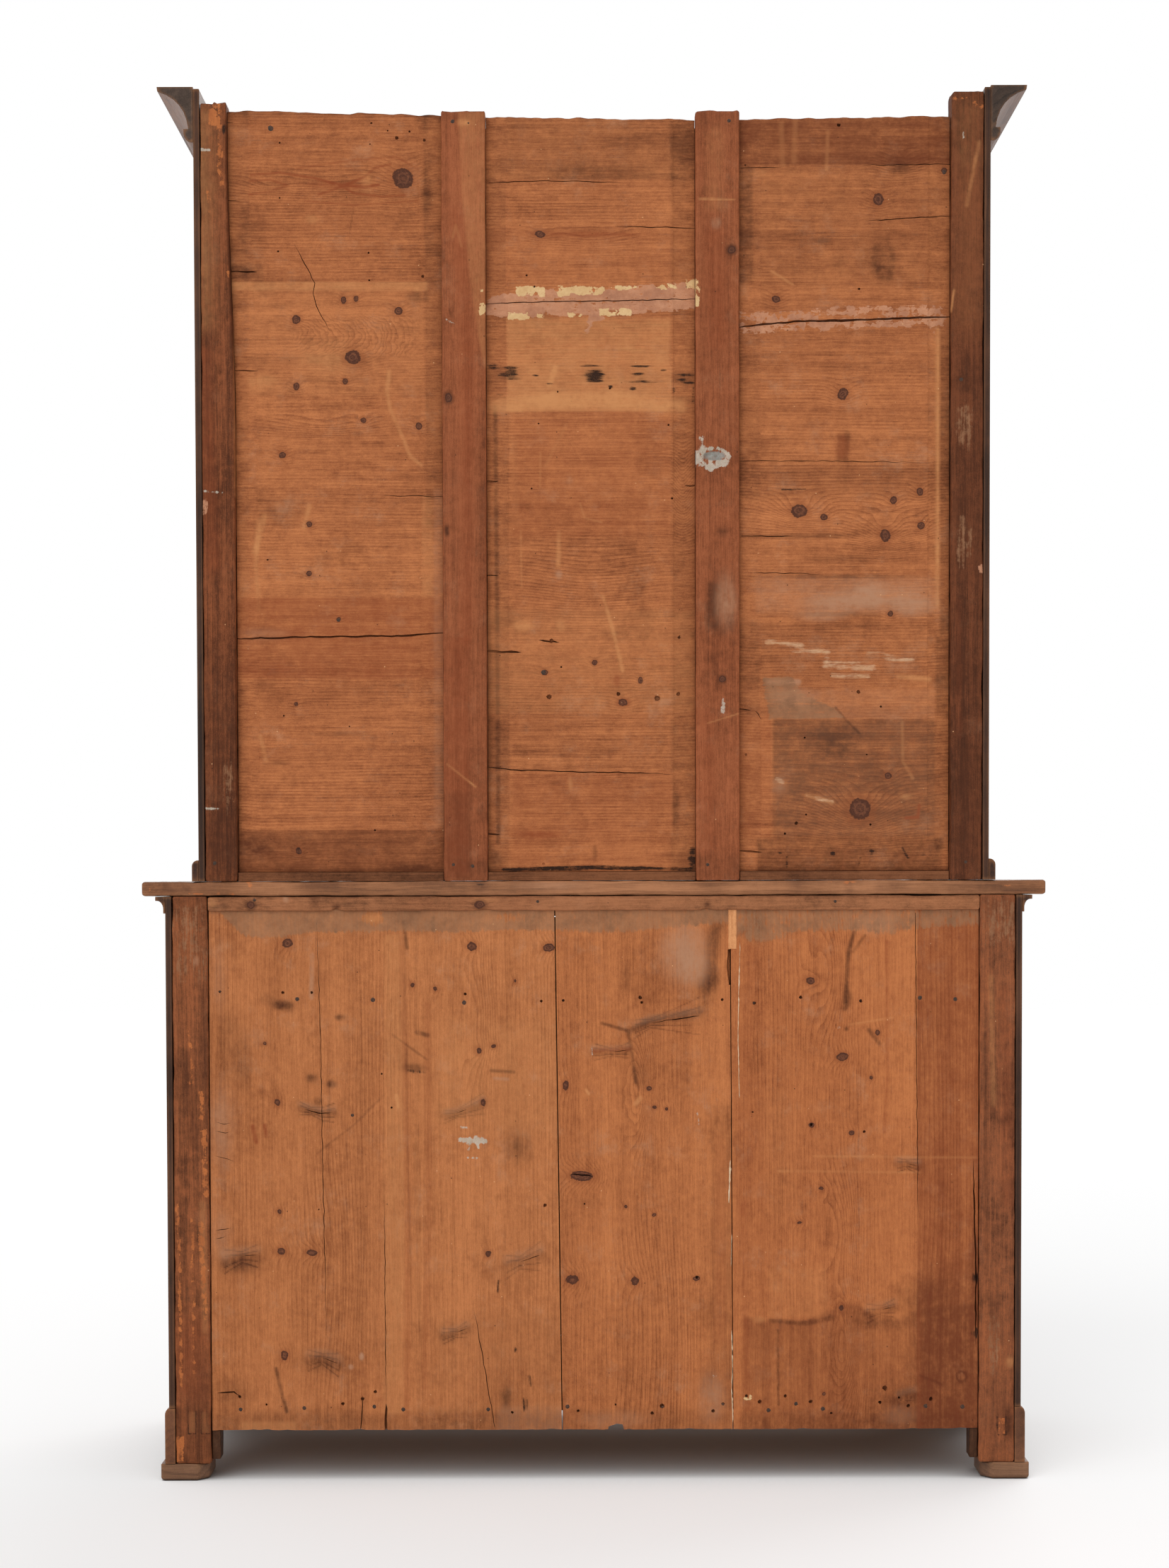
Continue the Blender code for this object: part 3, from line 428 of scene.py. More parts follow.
# Looks shared by all boards of one kind of wood, then changed board by board
pineLook = {
    "along": "X", "seed": 1.0, "pale": (194, 121, 74), "mid": (162, 96, 58), "dark": (106, 57, 32),
    "rings": 190.0, "ringShow": 0.46, "ringSharp": 2.4, "drift": 4.5, "fibre": 0.8, "streak": 0.72,
    "sand": 0.6, "band": 0.45, "blotch": 0.6, "mottle": 0.65, "grit": 0.5, "stain": 0.6,
    "haze": 0.46, "sway": 0.006, "knotHalo": (138, 76, 44), "knotPale": (116, 72, 52),
    "knotDark": (66, 38, 29), "depth": 0.010, "pixel": 0.00117, "rough": 0.66, "gloss": 0.1,
    "bump": 0.4, "specks": 0.75, "grime": 0.55, "grimeReach": 0.018, "grimeColour": (46, 28, 20),
}
walnutLook = {
    **pineLook, "along": "Z", "seed": 5.0, "pale": (138, 88, 52), "mid": (100, 60, 34),
    "dark": (44, 25, 15), "rings": 80.0, "drift": 6.0, "ringShow": 0.62, "ringSharp": 2.6,
    "streak": 0.74, "band": 0.62, "blotch": 0.45, "rough": 0.44, "gloss": 0.3, "wax": 0.14,
    "bump": 0.2, "mottle": 0.25, "grit": 0.3, "sand": 0.15, "stain": 0.3, "haze": 0.06,
    "specks": 0.2, "grime": 0.7, "grimeColour": (26, 16, 11), "rubbed": (150, 100, 62),
    "agedBack": ((78, 52, 40), (56, 37, 28), (30, 20, 16)),
}


# The stage: pale floor, white surroundings, soft lamps
stage = {
    "floorHalf": 14.0, "floorLevel": -0.0004, "floorTone": 0.92, "floorGlow": 0.3, "sky": 0.5,
    "shadowReach": 0.5, "shadowDepth": 0.37,
}
lamps = {  # where from, strength, softness in degrees
    "backKey": ((0.55, 1.0, 0.9), 1.0, 50),
    "frontKey": ((-0.6, -1.0, 0.9), 1.0, 50),
    "top": ((0.0, 0.15, 1.0), 0.7, 70),
}


def seenRays(start):  # what the camera sees itself, in metal or through glass
    kinds = ("Is Camera Ray", "Is Glossy Ray", "Is Transmission Ray")
    direct, glossy, through = start.make("LightPath", out=kinds)
    return direct.most(glossy.most(through))


def buildStage():
    half = stage["floorHalf"]
    mesh = bpy.data.meshes.new("floor")
    corners = [(-half, -half), (half, -half), (half, half), (-half, half)]
    mesh.from_pydata([(x, y, stage["floorLevel"]) for x, y in corners], [], [(0, 1, 2, 3)])
    floor = link("floor", mesh)
    material, start = newFinish("paleFloor")
    tone = stage["floorTone"]
    closeBy = start.make("AmbientOcclusion", {"samples": 16}, {"Distance": stage["shadowReach"]}, "AO")
    shadow = closeBy.between(0.62, 0.3) * stage["shadowDepth"]
    matt = {"Base Color": (1.0 - shadow) * tone, "Roughness": 1.0, "Specular IOR Level": 0.0}
    paint = start.make("BsdfPrincipled", None, matt)
    glow = start.make("Emission", None, {"Color": (1, 1, 1, 1), "Strength": 1.0})
    seen = seenRays(start)
    lit = 1.0 - shadow / stage["shadowDepth"]
    blend = start.make("MixShader", None, {0: seen * lit * stage["floorGlow"], 1: paint, 2: glow})
    start.make("OutputMaterial", None, {"Surface": blend})
    mesh.materials.append(material)

    world = bpy.data.worlds.new("studio")
    bpy.context.scene.world = world
    world.use_nodes = True
    world.node_tree.nodes.clear()
    start = Wire(world.node_tree)
    strength = seenRays(start) * (1.0 - stage["sky"]) + stage["sky"]
    sky = start.make("Background", None, {"Color": (1, 1, 1, 1), "Strength": strength})
    start.make("OutputWorld", None, {"Surface": sky})

    for name, (aim, strength, softness) in lamps.items():
        data = bpy.data.lights.new(name, "SUN")
        data.energy = strength
        data.angle = math.radians(softness)
        holder = link(name, data)
        holder.rotation_mode = "QUATERNION"
        holder.rotation_quaternion = Vector(aim).to_track_quat("Z", "Y")
    bpy.context.scene.view_settings.view_transform = "Standard"
    print("stage set")


# Mesh helpers
def addPiece(name, vertices, faces, finish, body, stands=(), angle=0):
    mesh = bpy.data.meshes.new(name)
    mesh.from_pydata([tuple(v) for v in vertices], [], faces)
    mesh.update()
    piece = link(name, mesh)
    mesh.materials.append(finish)
    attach(piece, body)
    if stands:
        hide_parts(*stands)
    if angle:
        smooth(piece, angle)
    return piece


def smooth(piece, angle=35):
    piece.data.shade_smooth()
    piece.data.set_sharp_from_angle(angle=math.radians(angle))


def ruffle(points, scale, seed=0.0):  # smooth noise at points, about -1 to 1
    shift = Vector((seed * 13.1, seed * 7.7, seed * 3.3))
    return np.array([noise.noise(Vector(p) * scale + shift) for p in np.reshape(points, (-1, 3))])


def tubeFaces(sides, rings=2, first=0):  # quads that join rings of points, one after another
    faces = []
    for a in range(first, first + (rings - 1) * sides, sides):
        for k in range(sides):
            n = (k + 1) % sides
            faces.append((a + k, a + n, a + sides + n, a + sides + k))
    return faces


def circle(sides, start=0.0):  # cosine and sine round a circle
    angles = [2 * math.pi * k / sides + start for k in range(sides)]
    return [(math.cos(angle), math.sin(angle)) for angle in angles]


def stepped(points, stride, least):  # more points along a line
    line = []
    for (a, b), (c, d) in zip(points, points[1:]):
        steps = max(least, int(math.dist((a, b), (c, d)) / stride))
        line += [(a + (c - a) * k / steps, b + (d - b) * k / steps) for k in range(steps)]
    return [*line, points[-1]]


def pointList(x, y, z):
    return np.stack((x, y, z), axis=-1).reshape(-1, 3)


def gridBoard(xs, ys, zs, backAt):  # a board from a grid of points on its shown face
    rows, columns = xs.shape
    face = pointList(xs, ys, zs)
    index = np.arange(rows * columns).reshape(rows, columns)
    loop = [*index[0, :], *index[1:, -1], *index[-1, -2::-1], *index[-2:0:-1, 0]]
    rim = face[loop].copy()
    rim[:, 1] = backAt
    faces = []
    for r in range(rows - 1):
        for c in range(columns - 1):
            faces.append((index[r, c], index[r + 1, c], index[r + 1, c + 1], index[r, c + 1]))
    first = len(face)
    count = len(loop)
    for k in range(count):
        n = (k + 1) % count
        faces.append((loop[k], loop[n], first + n, first + k))
    faces.append(tuple(range(first, first + count)))
    return np.concatenate((face, rim)), [tuple(int(v) for v in f) for f in faces]


def roundBar(axis, low, high, radius, step, wear, seed, ends=None, side=0.007):
    # a bar along x or z with worn round edges; ends(t) may move its sides on the way
    others = [k for k in range(3) if k != axis]
    length = high[axis] - low[axis]
    cuts = [0.0, radius * 0.4 / length, radius / length]
    places = sorted({*cuts, *[1 - c for c in cuts], *np.linspace(0, 1, max(2, int(length / step)))})
    sideCounts = [max(1, int((high[k] - low[k]) / side)) for k in others]
    vertices = []
    for t in places:
        lowSide = np.array([low[k] for k in others], float)
        highSide = np.array([high[k] for k in others], float)
        if ends is not None:
            lowSide, highSide = ends(t, lowSide, highSide)
        inset = radius * 0.5 * max(0.0, 1 - min(t, 1 - t) * length / radius) ** 2
        section = roundSection(lowSide + inset, highSide - inset, radius, sideCounts)
        for pair in section:
            point = [0.0, 0.0, 0.0]
            point[axis] = low[axis] + t * length
            point[others[0]], point[others[1]] = pair
            vertices.append(point)
    vertices = np.array(vertices)
    middle = np.array([(low[k] + high[k]) / 2 for k in range(3)])
    stretch = np.ones(3)
    stretch[axis] = 0.25
    rub = ruffle(vertices * stretch, 60.0, seed) * 0.6 + ruffle(vertices * stretch, 190.0, seed + 2) * 0.4
    rub = np.clip(rub + 0.25, 0, 1) * wear
    for k in others:
        toMiddle = np.sign(middle[k] - vertices[:, k])
        fromEdge = np.minimum(vertices[:, k] - low[k], high[k] - vertices[:, k])
        near = 1 - np.minimum(1, fromEdge / (radius * 2))
        vertices[:, k] += toMiddle * rub * np.clip(near, 0, 1)
    ring = len(section)
    last = (len(places) - 1) * ring
    faces = tubeFaces(ring, len(places))
    faces += [tuple(range(ring))[::-1], tuple(range(last, last + ring))]
    return vertices, faces


def roundSection(low, high, radius, sideCounts, corner=3):
    # a rectangle with round corners, with points along its sides too
    points = []
    centres = [(high[0] - radius, high[1] - radius), (low[0] + radius, high[1] - radius)]
    centres += [(low[0] + radius, low[1] + radius), (high[0] - radius, low[1] + radius)]
    for k, (a, b) in enumerate(centres):
        for turn in range(corner + 1):
            angle = math.pi / 2 * (k + turn / corner)
            points.append((a + radius * math.cos(angle), b + radius * math.sin(angle)))
        c, d = centres[(k + 1) % 4]
        angle = math.pi / 2 * (k + 1)
        end = (c + radius * math.cos(angle), d + radius * math.sin(angle))
        start = points[-1]
        count = sideCounts[k % 2]
        for t in [turn / count for turn in range(1, count)]:
            points.append((start[0] + (end[0] - start[0]) * t, start[1] + (end[1] - start[1]) * t))
    return points


# Cracks and holes are cut in the back of a board, at places given in photo pixels
cutAbove = 0.004  # how far a cutter stands out of the board


def crackCutter(crack, depth, facePlane):  # a thin wedge along a line
    *numbers, width, openStart, openEnd = crack
    line = stepped(lineOf(numbers), 7, 1)
    pixel = pineLook["pixel"]
    total = len(line) - 1
    vertices = []
    for k, (column, row) in enumerate(line):
        before = line[max(0, k - 1)]
        after = line[min(total, k + 1)]
        x, z = spot(column, row)
        run = Vector((-(after[0] - before[0]), 0, -(after[1] - before[1]))).normalized()
        side = Vector((run.z, 0, -run.x))
        t = k / total
        shrink = min(1.0, 1.0 if openStart else 0.12 + 4 * t, 1.0 if openEnd else 0.12 + 4 * (1 - t))
        wander = noise.noise(Vector((x, 0, z)) * 70)
        half = width * pixel * 0.5 * shrink * (1 + 0.5 * noise.noise(Vector((x, 3, z)) * 45))
        middle = Vector((x, 0, z)) + side * wander * pixel * 1.3 * (0 if k in (0, total) else 1)
        for reach, share in ((cutAbove, 1.25), (-depth, 0.3)):
            for sign in (1, -1):
                corner = middle + side * sign * half * share
                vertices.append((corner.x, facePlane + reach, corner.z))
    faces = []
    for a in range(0, total * 4, 4):
        for p, q in ((0, 1), (1, 3), (3, 2), (2, 0)):
            faces.append((a + p, a + q, a + 4 + q, a + 4 + p))
    e = total * 4
    faces += [(0, 2, 3, 1), (e, e + 1, e + 3, e + 2)]
    return vertices, faces


def holeCutter(hole, depth, facePlane, sides=7):
    column, row, radius = hole
    x, z = spot(column, row)
    size = radius * pineLook["pixel"]
    vertices = []
    for reach, share in ((cutAbove, 1.15), (-depth, 0.5)):
        for k, (a, b) in enumerate(circle(sides)):
            bulge = noise.noise(Vector((x * 90, z * 90, 2 * math.pi * k / sides * 2)))
            swell = share * (1 + 0.35 * bulge)
            vertices.append((x + size * swell * a, facePlane + reach, z + size * swell * b))
    return vertices, [tuple(range(sides))[::-1], tuple(range(sides, 2 * sides)), *tubeFaces(sides)]


def notchCutter(outline, facePlane):
    count = len(outline)
    vertices = []
    for reach in (0.006, -0.03):
        for column, row in outline:
            x, z = spot(column, row, backBoardShape["faceDepth"])
            vertices.append((x, facePlane + reach, z))
    caps = [tuple(range(count)), tuple(range(2 * count - 1, count - 1, -1))]
    return vertices, caps + tubeFaces(count)


def cutBoard(piece, look, cracks, shape, facePlane):
    cutters = [crackCutter(crack, shape["crackDepth"], facePlane) for crack in cracks]
    cutters += [holeCutter(hole, shape["holeDepth"], facePlane) for hole in look["holes"]]
    if "notch" in look:
        cutters.append(notchCutter(lineOf(look["notch"]), facePlane))
    vertices = []
    faces = []
    for points, polygons in cutters:
        first = len(vertices)
        vertices += points
        faces += [tuple(v + first for v in polygon) for polygon in polygons]
    mesh = bpy.data.meshes.new("cutter")
    mesh.from_pydata(vertices, [], faces)
    bm = bmesh.new()
    bm.from_mesh(mesh)
    bmesh.ops.recalc_face_normals(bm, faces=bm.faces)
    bm.to_mesh(mesh)
    bm.free()
    cutter = link("cutter", mesh)
    cut = piece.modifiers.new("cut", "BOOLEAN")
    cut.operation = "DIFFERENCE"
    cut.object = cutter
    cut.use_self = True
    carved = bpy.data.meshes.new_from_object(piece.evaluated_get(bpy.context.evaluated_depsgraph_get()))
    piece.modifiers.clear()
    piece.data = carved
    bpy.data.objects.remove(cutter)


# Marks on the old boards, placed by photo pixels, with amounts in percent. In a piece's settings a key
# of two words says what kind they are and whether they are boxes, blobs, strokes or polygons
def eased(value):
    value = np.clip(value, 0, 1)
    return value * value * (3 - 2 * value)


def lineOf(numbers):  # the points of a line: its start, then steps from point to point
    return [tuple(point) for point in np.cumsum(np.reshape(numbers, (-1, 2)), axis=0).tolist()]


def listMarks(look):  # one row for each mark, with its kind and form first
    marks = []
    for name, rows in look.items():
        if " " not in name:
            continue
        kind, form = name.split()
        for row in rows:
            if form in ("stroke", "poly"):  # a line, then width and amount
                row = (lineOf(row[:-2]), *row[-2:])
            marks.append((kind, form, *row))
    return marks


def markAmount(mark, columns, rows):
    form = mark[1]
    if form == "box":
        left, top, right, bottom, amount, feather = mark[2:]
        inside = eased((columns - left) / feather + 0.5) * eased((right - columns) / feather + 0.5)
        inside = inside * eased((rows - top) / feather + 0.5) * eased((bottom - rows) / feather + 0.5)
        return amount / 100 * inside
    if form == "blob":
        column, row, halfWidth, halfHeight, amount = mark[2:]
        away = ((columns - column) / halfWidth) ** 2 + ((rows - row) / halfHeight) ** 2
        return amount / 100 * np.exp(-(away ** 1.5))
    points, width, amount = mark[2:]
    if form == "poly":
        loop = [*points, points[0]]
        inside = np.zeros(len(columns), bool)
        for (a, b), (c, d) in zip(loop, loop[1:]):
            if b != d:
                crossing = (b > rows) != (d > rows)
                inside ^= crossing & (columns < (c - a) * (rows - b) / (d - b) + a)
        away = toLine(loop, columns, rows)
        return amount / 100 * eased(np.where(inside, away, -away) / width + 0.5)
    return amount / 100 * np.exp(-((toLine(points, columns, rows) / width) ** 3))


def toLine(points, columns, rows):  # how far from a line of points, in pixels
    nearest = np.full(len(columns), 1e9)
    for (a, b), (c, d) in zip(points, points[1:]):
        length = max(1e-6, (c - a) ** 2 + (d - b) ** 2)
        t = np.clip(((columns - a) * (c - a) + (rows - b) * (d - b)) / length, 0, 1)
        nearest = np.minimum(nearest, np.hypot(columns - a - t * (c - a), rows - b - t * (d - b)))
    return nearest


def markAmounts(points, marks):
    columns, rows = pixelsOf(points)
    amounts = {}
    for mark in marks:
        found = markAmount(mark, columns, rows)
        kind = mark[0].lstrip("-")
        before = amounts.get(kind, np.zeros(len(found)))
        amounts[kind] = before * (1 - found) if mark[0][0] == "-" else 1 - (1 - before) * (1 - found)
    return amounts


def kindsOf(marks):
    return {mark[0].lstrip("-") for mark in marks}


thinMark = 9  # pixels; a narrower mark needs a finer mesh


def refine(piece, marks, cuts=2):  # more points where a mark is thin
    bm = bmesh.new()
    bm.from_mesh(piece.data)
    small = [face for face in bm.faces if face.calc_area() < 0.0004 and face.normal.y > 0.3]
    centres = np.array([face.calc_center_median() for face in small])
    columns, rows = pixelsOf(centres)
    chosen = np.zeros(len(small), bool)
    for mark in marks:
        form = mark[1]
        if form == "stroke" and mark[3] < thinMark:
            chosen |= toLine(mark[2], columns, rows) < mark[3] + 5
        if form == "blob" and min(mark[4:6]) < thinMark:
            away = ((columns - mark[2]) / (mark[4] + 5)) ** 2 + ((rows - mark[3]) / (mark[5] + 5)) ** 2
            chosen |= away < 1.4
        if form == "poly" and mark[3] < thinMark:
            chosen |= toLine([*mark[2], mark[2][0]], columns, rows) < mark[3] + 4
    edges = {edge for face, wanted in zip(small, chosen) if wanted for edge in face.edges}
    bmesh.ops.subdivide_edges(bm, edges=list(edges), cuts=cuts, use_grid_fill=True)
    bm.to_mesh(piece.data)
    bm.free()


def paintMesh(piece, marks, deep=0.0165):  # only as deep as the marks reach in from the back
    count = len(piece.data.vertices)
    flat = np.zeros(count * 3, np.float32)
    piece.data.vertices.foreach_get("co", flat)
    points = flat.reshape(-1, 3).astype(float)
    for kind, amount in markAmounts(points, marks).items():
        amount = np.where(points[:, 1] > backY - deep, amount, 0.0)
        layer = piece.data.attributes.new(kind, "FLOAT", "POINT")
        layer.data.foreach_set("value", amount.astype(np.float32))


def gridLines(low, high, step, extra):  # even lines, with more at given places
    lines = list(np.linspace(low, high, max(2, int((high - low) / step) + 1)))
    for place in extra:
        if low < place < high:
            lines.append(place)
    lines.sort()
    kept = [lines[0]]
    for line in lines[1:]:
        if line - kept[-1] > 0.0007:
            kept.append(line)
    kept[-1] = high
    return np.array(kept)


slimEnd = {"from": 1.75, "to": 2.2}  # heights between which an outer post gets thinner


def thinning(height):
    return eased((height - slimEnd["from"]) / (slimEnd["to"] - slimEnd["from"]))


def heightOf(row, depth, column=840):  # the height that a photo row shows near the middle
    return spot(column, row, depth)[1]


# The three fielded panels of the upper back; boards of each lie level
panelShape = {
    "fieldDepth": 0.0100, "edgeDepth": 0.0142, "backDepth": 0.0215, "step": 0.0062, "gap": 0.0004,
    "shoulder": 0.0006,  # step where the field ends
    "sideMargin": 0.036, "footMargin": 0.056, "roughReach": 0.05, "crackDepth": 0.006, "holeDepth": 0.005,
}
# topRows are the photo rows of the rough top edge at its two ends; topWider makes up for a thin post end.
# knots: column, row, radius, stretch; figures: column, row, half length, half width, rings;
# cracks: a line, its width, whether each end runs out open; holes: column, row, radius
panels = {}
panels["upper_back_panel_right"] = {
    "bay": (0.2481, 0.5897), "topRows": (155, 163), "topWider": 0.0105,
    "seams": [398, 411, 560, 700, 845, 962, 1173],
    "knots": [(570, 252, 14, 1), (419, 452, 6, 1), (486, 424, 5, 0.8), (503, 422, 4, 0.8),
        (498, 505, 10, 1.1), (419, 546, 5, 0.8), (563, 440, 6, 1), (592, 602, 5, 1), (514, 594, 4, 1),
        (488, 539, 4, 1), (399, 643, 5, 1), (437, 741, 4, 1), (437, 811, 4, 1), (479, 875, 3, 1),
        (419, 996, 3, 1), (422, 1203, 5, 0.8)],
    "figures": [(380, 262, 36, 10, 2.4), (468, 258, 70, 24, 2.6), (455, 600, 70, 16, 3)],
    "flames": [(392, 476, -215, 36, 27)],
    # the dark boxes along the sides are partly painted shade beside the post and muntin, partly the darker
    # bevelled margins
    "dark box": [(290, 150, 640, 165, 35, 8), (290, 150, 352, 398, 22, 4), (290, 411, 352, 845, 20, 5),
        (290, 962, 352, 1173, 14, 5), (599, 150, 640, 740, 30, 3), (603, 740, 640, 1173, 10, 3),
        (325, 372, 372, 398, 35, 6), (290, 962, 640, 1173, 5, 2), (290, 1173, 640, 1240, 45, 2)],
    "red stroke": [(355, 247, 40, -3, 50, 8, 35, 9, 35, 4, 20, -4, 2.2, 62),
        (450, 275, 30, -10, 35, -15, 15, -13, 22, -5, 2.2, 60), (480, 262, 20, 11, 40, 5, 32, -2, 2, 55),
        (352, 275, 30, -5, 24, -8, -24, -8, -30, 2, 2, 50), (430, 284, 70, 6, 90, -6, 1.8, 45),
        (420, 238, 80, -12, 60, -4, 32, 18, 1.8, 45)],
    "pale stroke": [(550, 525, -3, 30, 5, 25, 18, 40, 10, 25, 15, 12, 3.4, 42),
        (365, 735, -3, 65, 4, 60, 4, 30), (437, 715, -7, 30, 4, 40), (374, 730, -14, 50, 5, 35),
        (368, 1040, 8, 35, 4, 40)],
    "dark stroke": [(500, 293, -6, 37, 1.2, 40)], "lined blob": [(470, 606, 100, 24, 80)],
    "pale box": [(290, 398, 606, 411, 46, 2), (352, 411, 600, 560, 16, 3), (290, 700, 640, 845, 6, 5),
        (596, 700, 612, 845, 25, 6)],
    "red box": [(290, 845, 640, 962, 42, 2), (290, 962, 640, 1173, 12, 2), (290, 1173, 640, 1240, 20, 2)],
    "grey box": [(612, 690, 640, 1170, 30, 8)],
    "dark blob": [(596, 170, 9, 18, 40), (601, 275, 8, 42, 35), (588, 419, 16, 9, 50),
        (352, 340, 22, 50, 25), (384, 263, 24, 8, 30), (400, 720, 40, 24, 25), (480, 1037, 50, 4, 35),
        (392, 1078, 18, 5, 35), (360, 1195, 26, 16, 35), (579, 1226, 30, 5, 40)],
    "red blob": [(480, 262, 60, 5, 50)],
    "pale blob": [(441, 310, 12, 7, 45), (518, 256, 9, 16, 40), (462, 505, 40, 26, 30),
        (370, 540, 26, 10, 35)],
    "grey blob": [(372, 896, 40, 10, 35)], "char blob": [(422, 1203, 3.2, 7, 55)],
    "cracks": [(300, 170, 28, 0, 2.4, 1, 0), (310, 280, 28, 1, 2.6, 1, 0), (318, 380, 44, 2, 3.4, 1, 0),
        (320, 521, 44, 1, 2.2, 1, 0), (415, 343, 29, 55, -3, 14, 5, 18, 9, 18, 11, 18, 1.3, 0, 0),
        (325, 902, 120, -3, 115, -1, 72, -5, 3, 1, 1), (540, 699, 92, 1, 1.2, 0, 1)],
    "holes": [(560, 192, 3.2), (599, 195, 2.8), (578, 183, 2), (394, 277, 1.6), (392, 353, 1.8),
        (520, 355, 1.8), (521, 394, 1.6), (597, 388, 3), (524, 171, 1.8), (394, 199, 1.8), (547, 182, 1.5),
        (377, 790, 1.8), (400, 1011, 1.6), (493, 1026, 1.4), (529, 1173, 1.8), (522, 201, 1.4)],
}
panels["upper_back_panel_middle"] = {
    "bay": (-0.1693, 0.1753), "topRows": (165, 170), "topWider": 0,
    "seams": [254, 319, 449, 582, 740, 1011, 1089],
    "knots": [(763, 331, 5, 1.6), (770, 950, 4, 1.2), (841, 936, 4, 1), (868, 420, 4, 2.4),
        (905, 962, 4, 0.8), (880, 993, 5, 1.4)],
    "figures": [(836, 335, 60, 14, 2.4), (965, 690, 12, 70, 4), (836, 820, 80, 50, 3)],
    # the dark boxes along the sides are partly painted shade beside the muntins, partly the darker bevelled
    # margins
    "dark box": [(680, 150, 990, 254, 30, 3), (680, 582, 720, 1240, 24, 3), (949, 560, 990, 1240, 26, 3),
        (680, 254, 716, 400, 26, 3), (680, 1011, 990, 1089, 16, 3), (680, 449, 716, 582, 20, 3),
        (950, 449, 990, 570, 22, 3), (947, 170, 990, 449, 28, 5), (680, 400, 716, 449, 20, 5)],
    "red box": [(680, 319, 990, 400, 18, 3), (722, 1089, 950, 1240, 26, 4)],
    "pale box": [(716, 449, 949, 582, 38, 3), (680, 449, 990, 582, 8, 4), (680, 860, 990, 1010, 22, 10)],
    "red poly": [(724, 590, 56, -10, 60, -2, 60, 4, 48, 10, 2, 168, -228, 0, 12, 30)],
    "pale stroke": [(700, 574, 80, -8, 80, -2, 100, 10, 12, 50), (790, 752, -1, 48, 4, 45),
        (820, 712, 6, 20, 24, 6, 2, 40), (736, 750, 1, 80, 1.8, 35), (764, 640, -1, 50, 1.8, 35),
        (852, 842, 14, 48, 14, 58, 3, 40), (800, 600, -30, 60, 3, 30), (726, 620, 4, 120, 6, 20),
        (785, 520, -9, 25, 4, 50)],
    "dark stroke": [(700, 575, 3, 325, 1, 290, 3.5, 40)],
    "dark blob": [(836, 245, 90, 12, 25), (832, 419, 8, 1.6, 70), (722, 529, 26, 11, 34),
        (839, 529, 24, 12, 34), (906, 530, 26, 12, 24), (968, 535, 18, 9, 34), (700, 1215, 10, 18, 40),
        (955, 1140, 6, 24, 35), (841, 1205, 4, 12, 50)],
    "red blob": [(836, 331, 70, 4, 50), (760, 1180, 30, 6, 45), (872, 962, 6, 10, 50),
        (882, 993, 12, 7, 50)],
    "chalk poly": [(688, 424, 14, -8, 22, -2, 76, -6, 100, -4, 88, -6, 4, 38, -62, 4, -50, 5, -40, 2, -40,
         -1, -70, 3, -46, -3, 9, 84)],
    "chalk stroke": [(837, 446, -4, 12, -4, 9, 4.5, 76), (838, 452, 15, -2, 3.5, 68)],
    "chalk blob": [(847, 461, 8, 2.6, 56)],
    "cream box": [(727, 404, 771, 418, 74, 4), (786, 402, 796, 419, 70, 3), (798, 403, 854, 417, 76, 4),
        (861, 404, 886, 411, 72, 3), (890, 404, 904, 410, 66, 3), (927, 401, 956, 409, 74, 3),
        (968, 396, 984, 408, 74, 3), (717, 441, 750, 451, 68, 4), (757, 440, 776, 449, 70, 4),
        (803, 441, 823, 448, 66, 3), (847, 437, 892, 447, 72, 4)],
    "cream blob": [(681, 440, 6, 8, 80)],
    "char blob": [(697, 518, 10, 5, 80), (720, 519, 14, 2, 70), (721.6, 525, 10, 6, 78),
        (716, 529.5, 17, 2.8, 74), (727, 535.5, 17, 2.6, 86), (757, 530.5, 6, 1.6, 70),
        (777, 542, 7, 1.8, 76), (836, 517.2, 19, 2, 78), (840.5, 531, 12, 8, 80),
        (838.5, 523.5, 17, 2.8, 70), (838, 530.5, 20, 3.2, 74), (841, 538, 14, 2.8, 76),
        (905, 517.6, 20, 2.2, 82), (900.7, 528.5, 12, 3, 74), (906, 536.5, 10, 2.8, 66),
        (905.7, 540, 26, 2, 86), (937.5, 523.5, 6, 1.6, 66), (967, 529.3, 17, 2.8, 76),
        (964, 536.7, 10, 3.2, 80), (973, 541, 11, 2.4, 76), (894, 549, 5.5, 4, 86), (863, 546.7, 4, 2.2, 80),
        (952, 551.6, 3, 4, 70), (707, 558, 8, 1.8, 72), (979, 1216, 7, 20, 85)],
    "char stroke": [(980, 546, -1, 22, 1.8, 50), (712, 1229, 68, -1, 70, -2, 125, 3, 3.6, 80)],
    "grey blob": [(790, 812, 6, 8, 50)],
    "pale blob": [(882, 490, 12, 4, 50), (740, 884, 14, 8, 40), (792, 884, 7, 8, 40),
        (806, 1108, 4, 12, 45)],
    "cracks": [(690, 255, 70, -2, 120, 2, 1.4, 1, 0), (870, 318, 115, 1, 1.6, 0, 1),
        (686, 427, 54, -1.5, 140, -2.5, 105, -3, 1.5, 1, 1), (690, 1084, 40, 4, 130, 3, 90, 3, 1.8, 1, 0),
        (684, 678, 20, 0, 5, 1, 0), (990, 684, -22, 1, 5, 1, 0), (684, 812, 20, 0, 4, 1, 0),
        (684, 919, 24, 1, 28, 1, 5, 1, 0), (684, 1177, 22, 2, 4, 1, 0), (761, 904, 29, 3, 3, 0, 0)],
    "holes": [(779, 905, 4), (776, 984, 4.5), (874, 980, 3.6), (929, 986, 5), (959, 980, 3.8), (960, 900, 3),
        (768, 1221, 3.4), (862, 547, 2), (761, 597, 1.6), (751, 689, 1.6), (950, 703, 2), (793, 942, 1.8),
        (755, 403, 1.8), (744, 387, 1.8), (788, 552, 1.6), (945, 599, 1.8)],
}
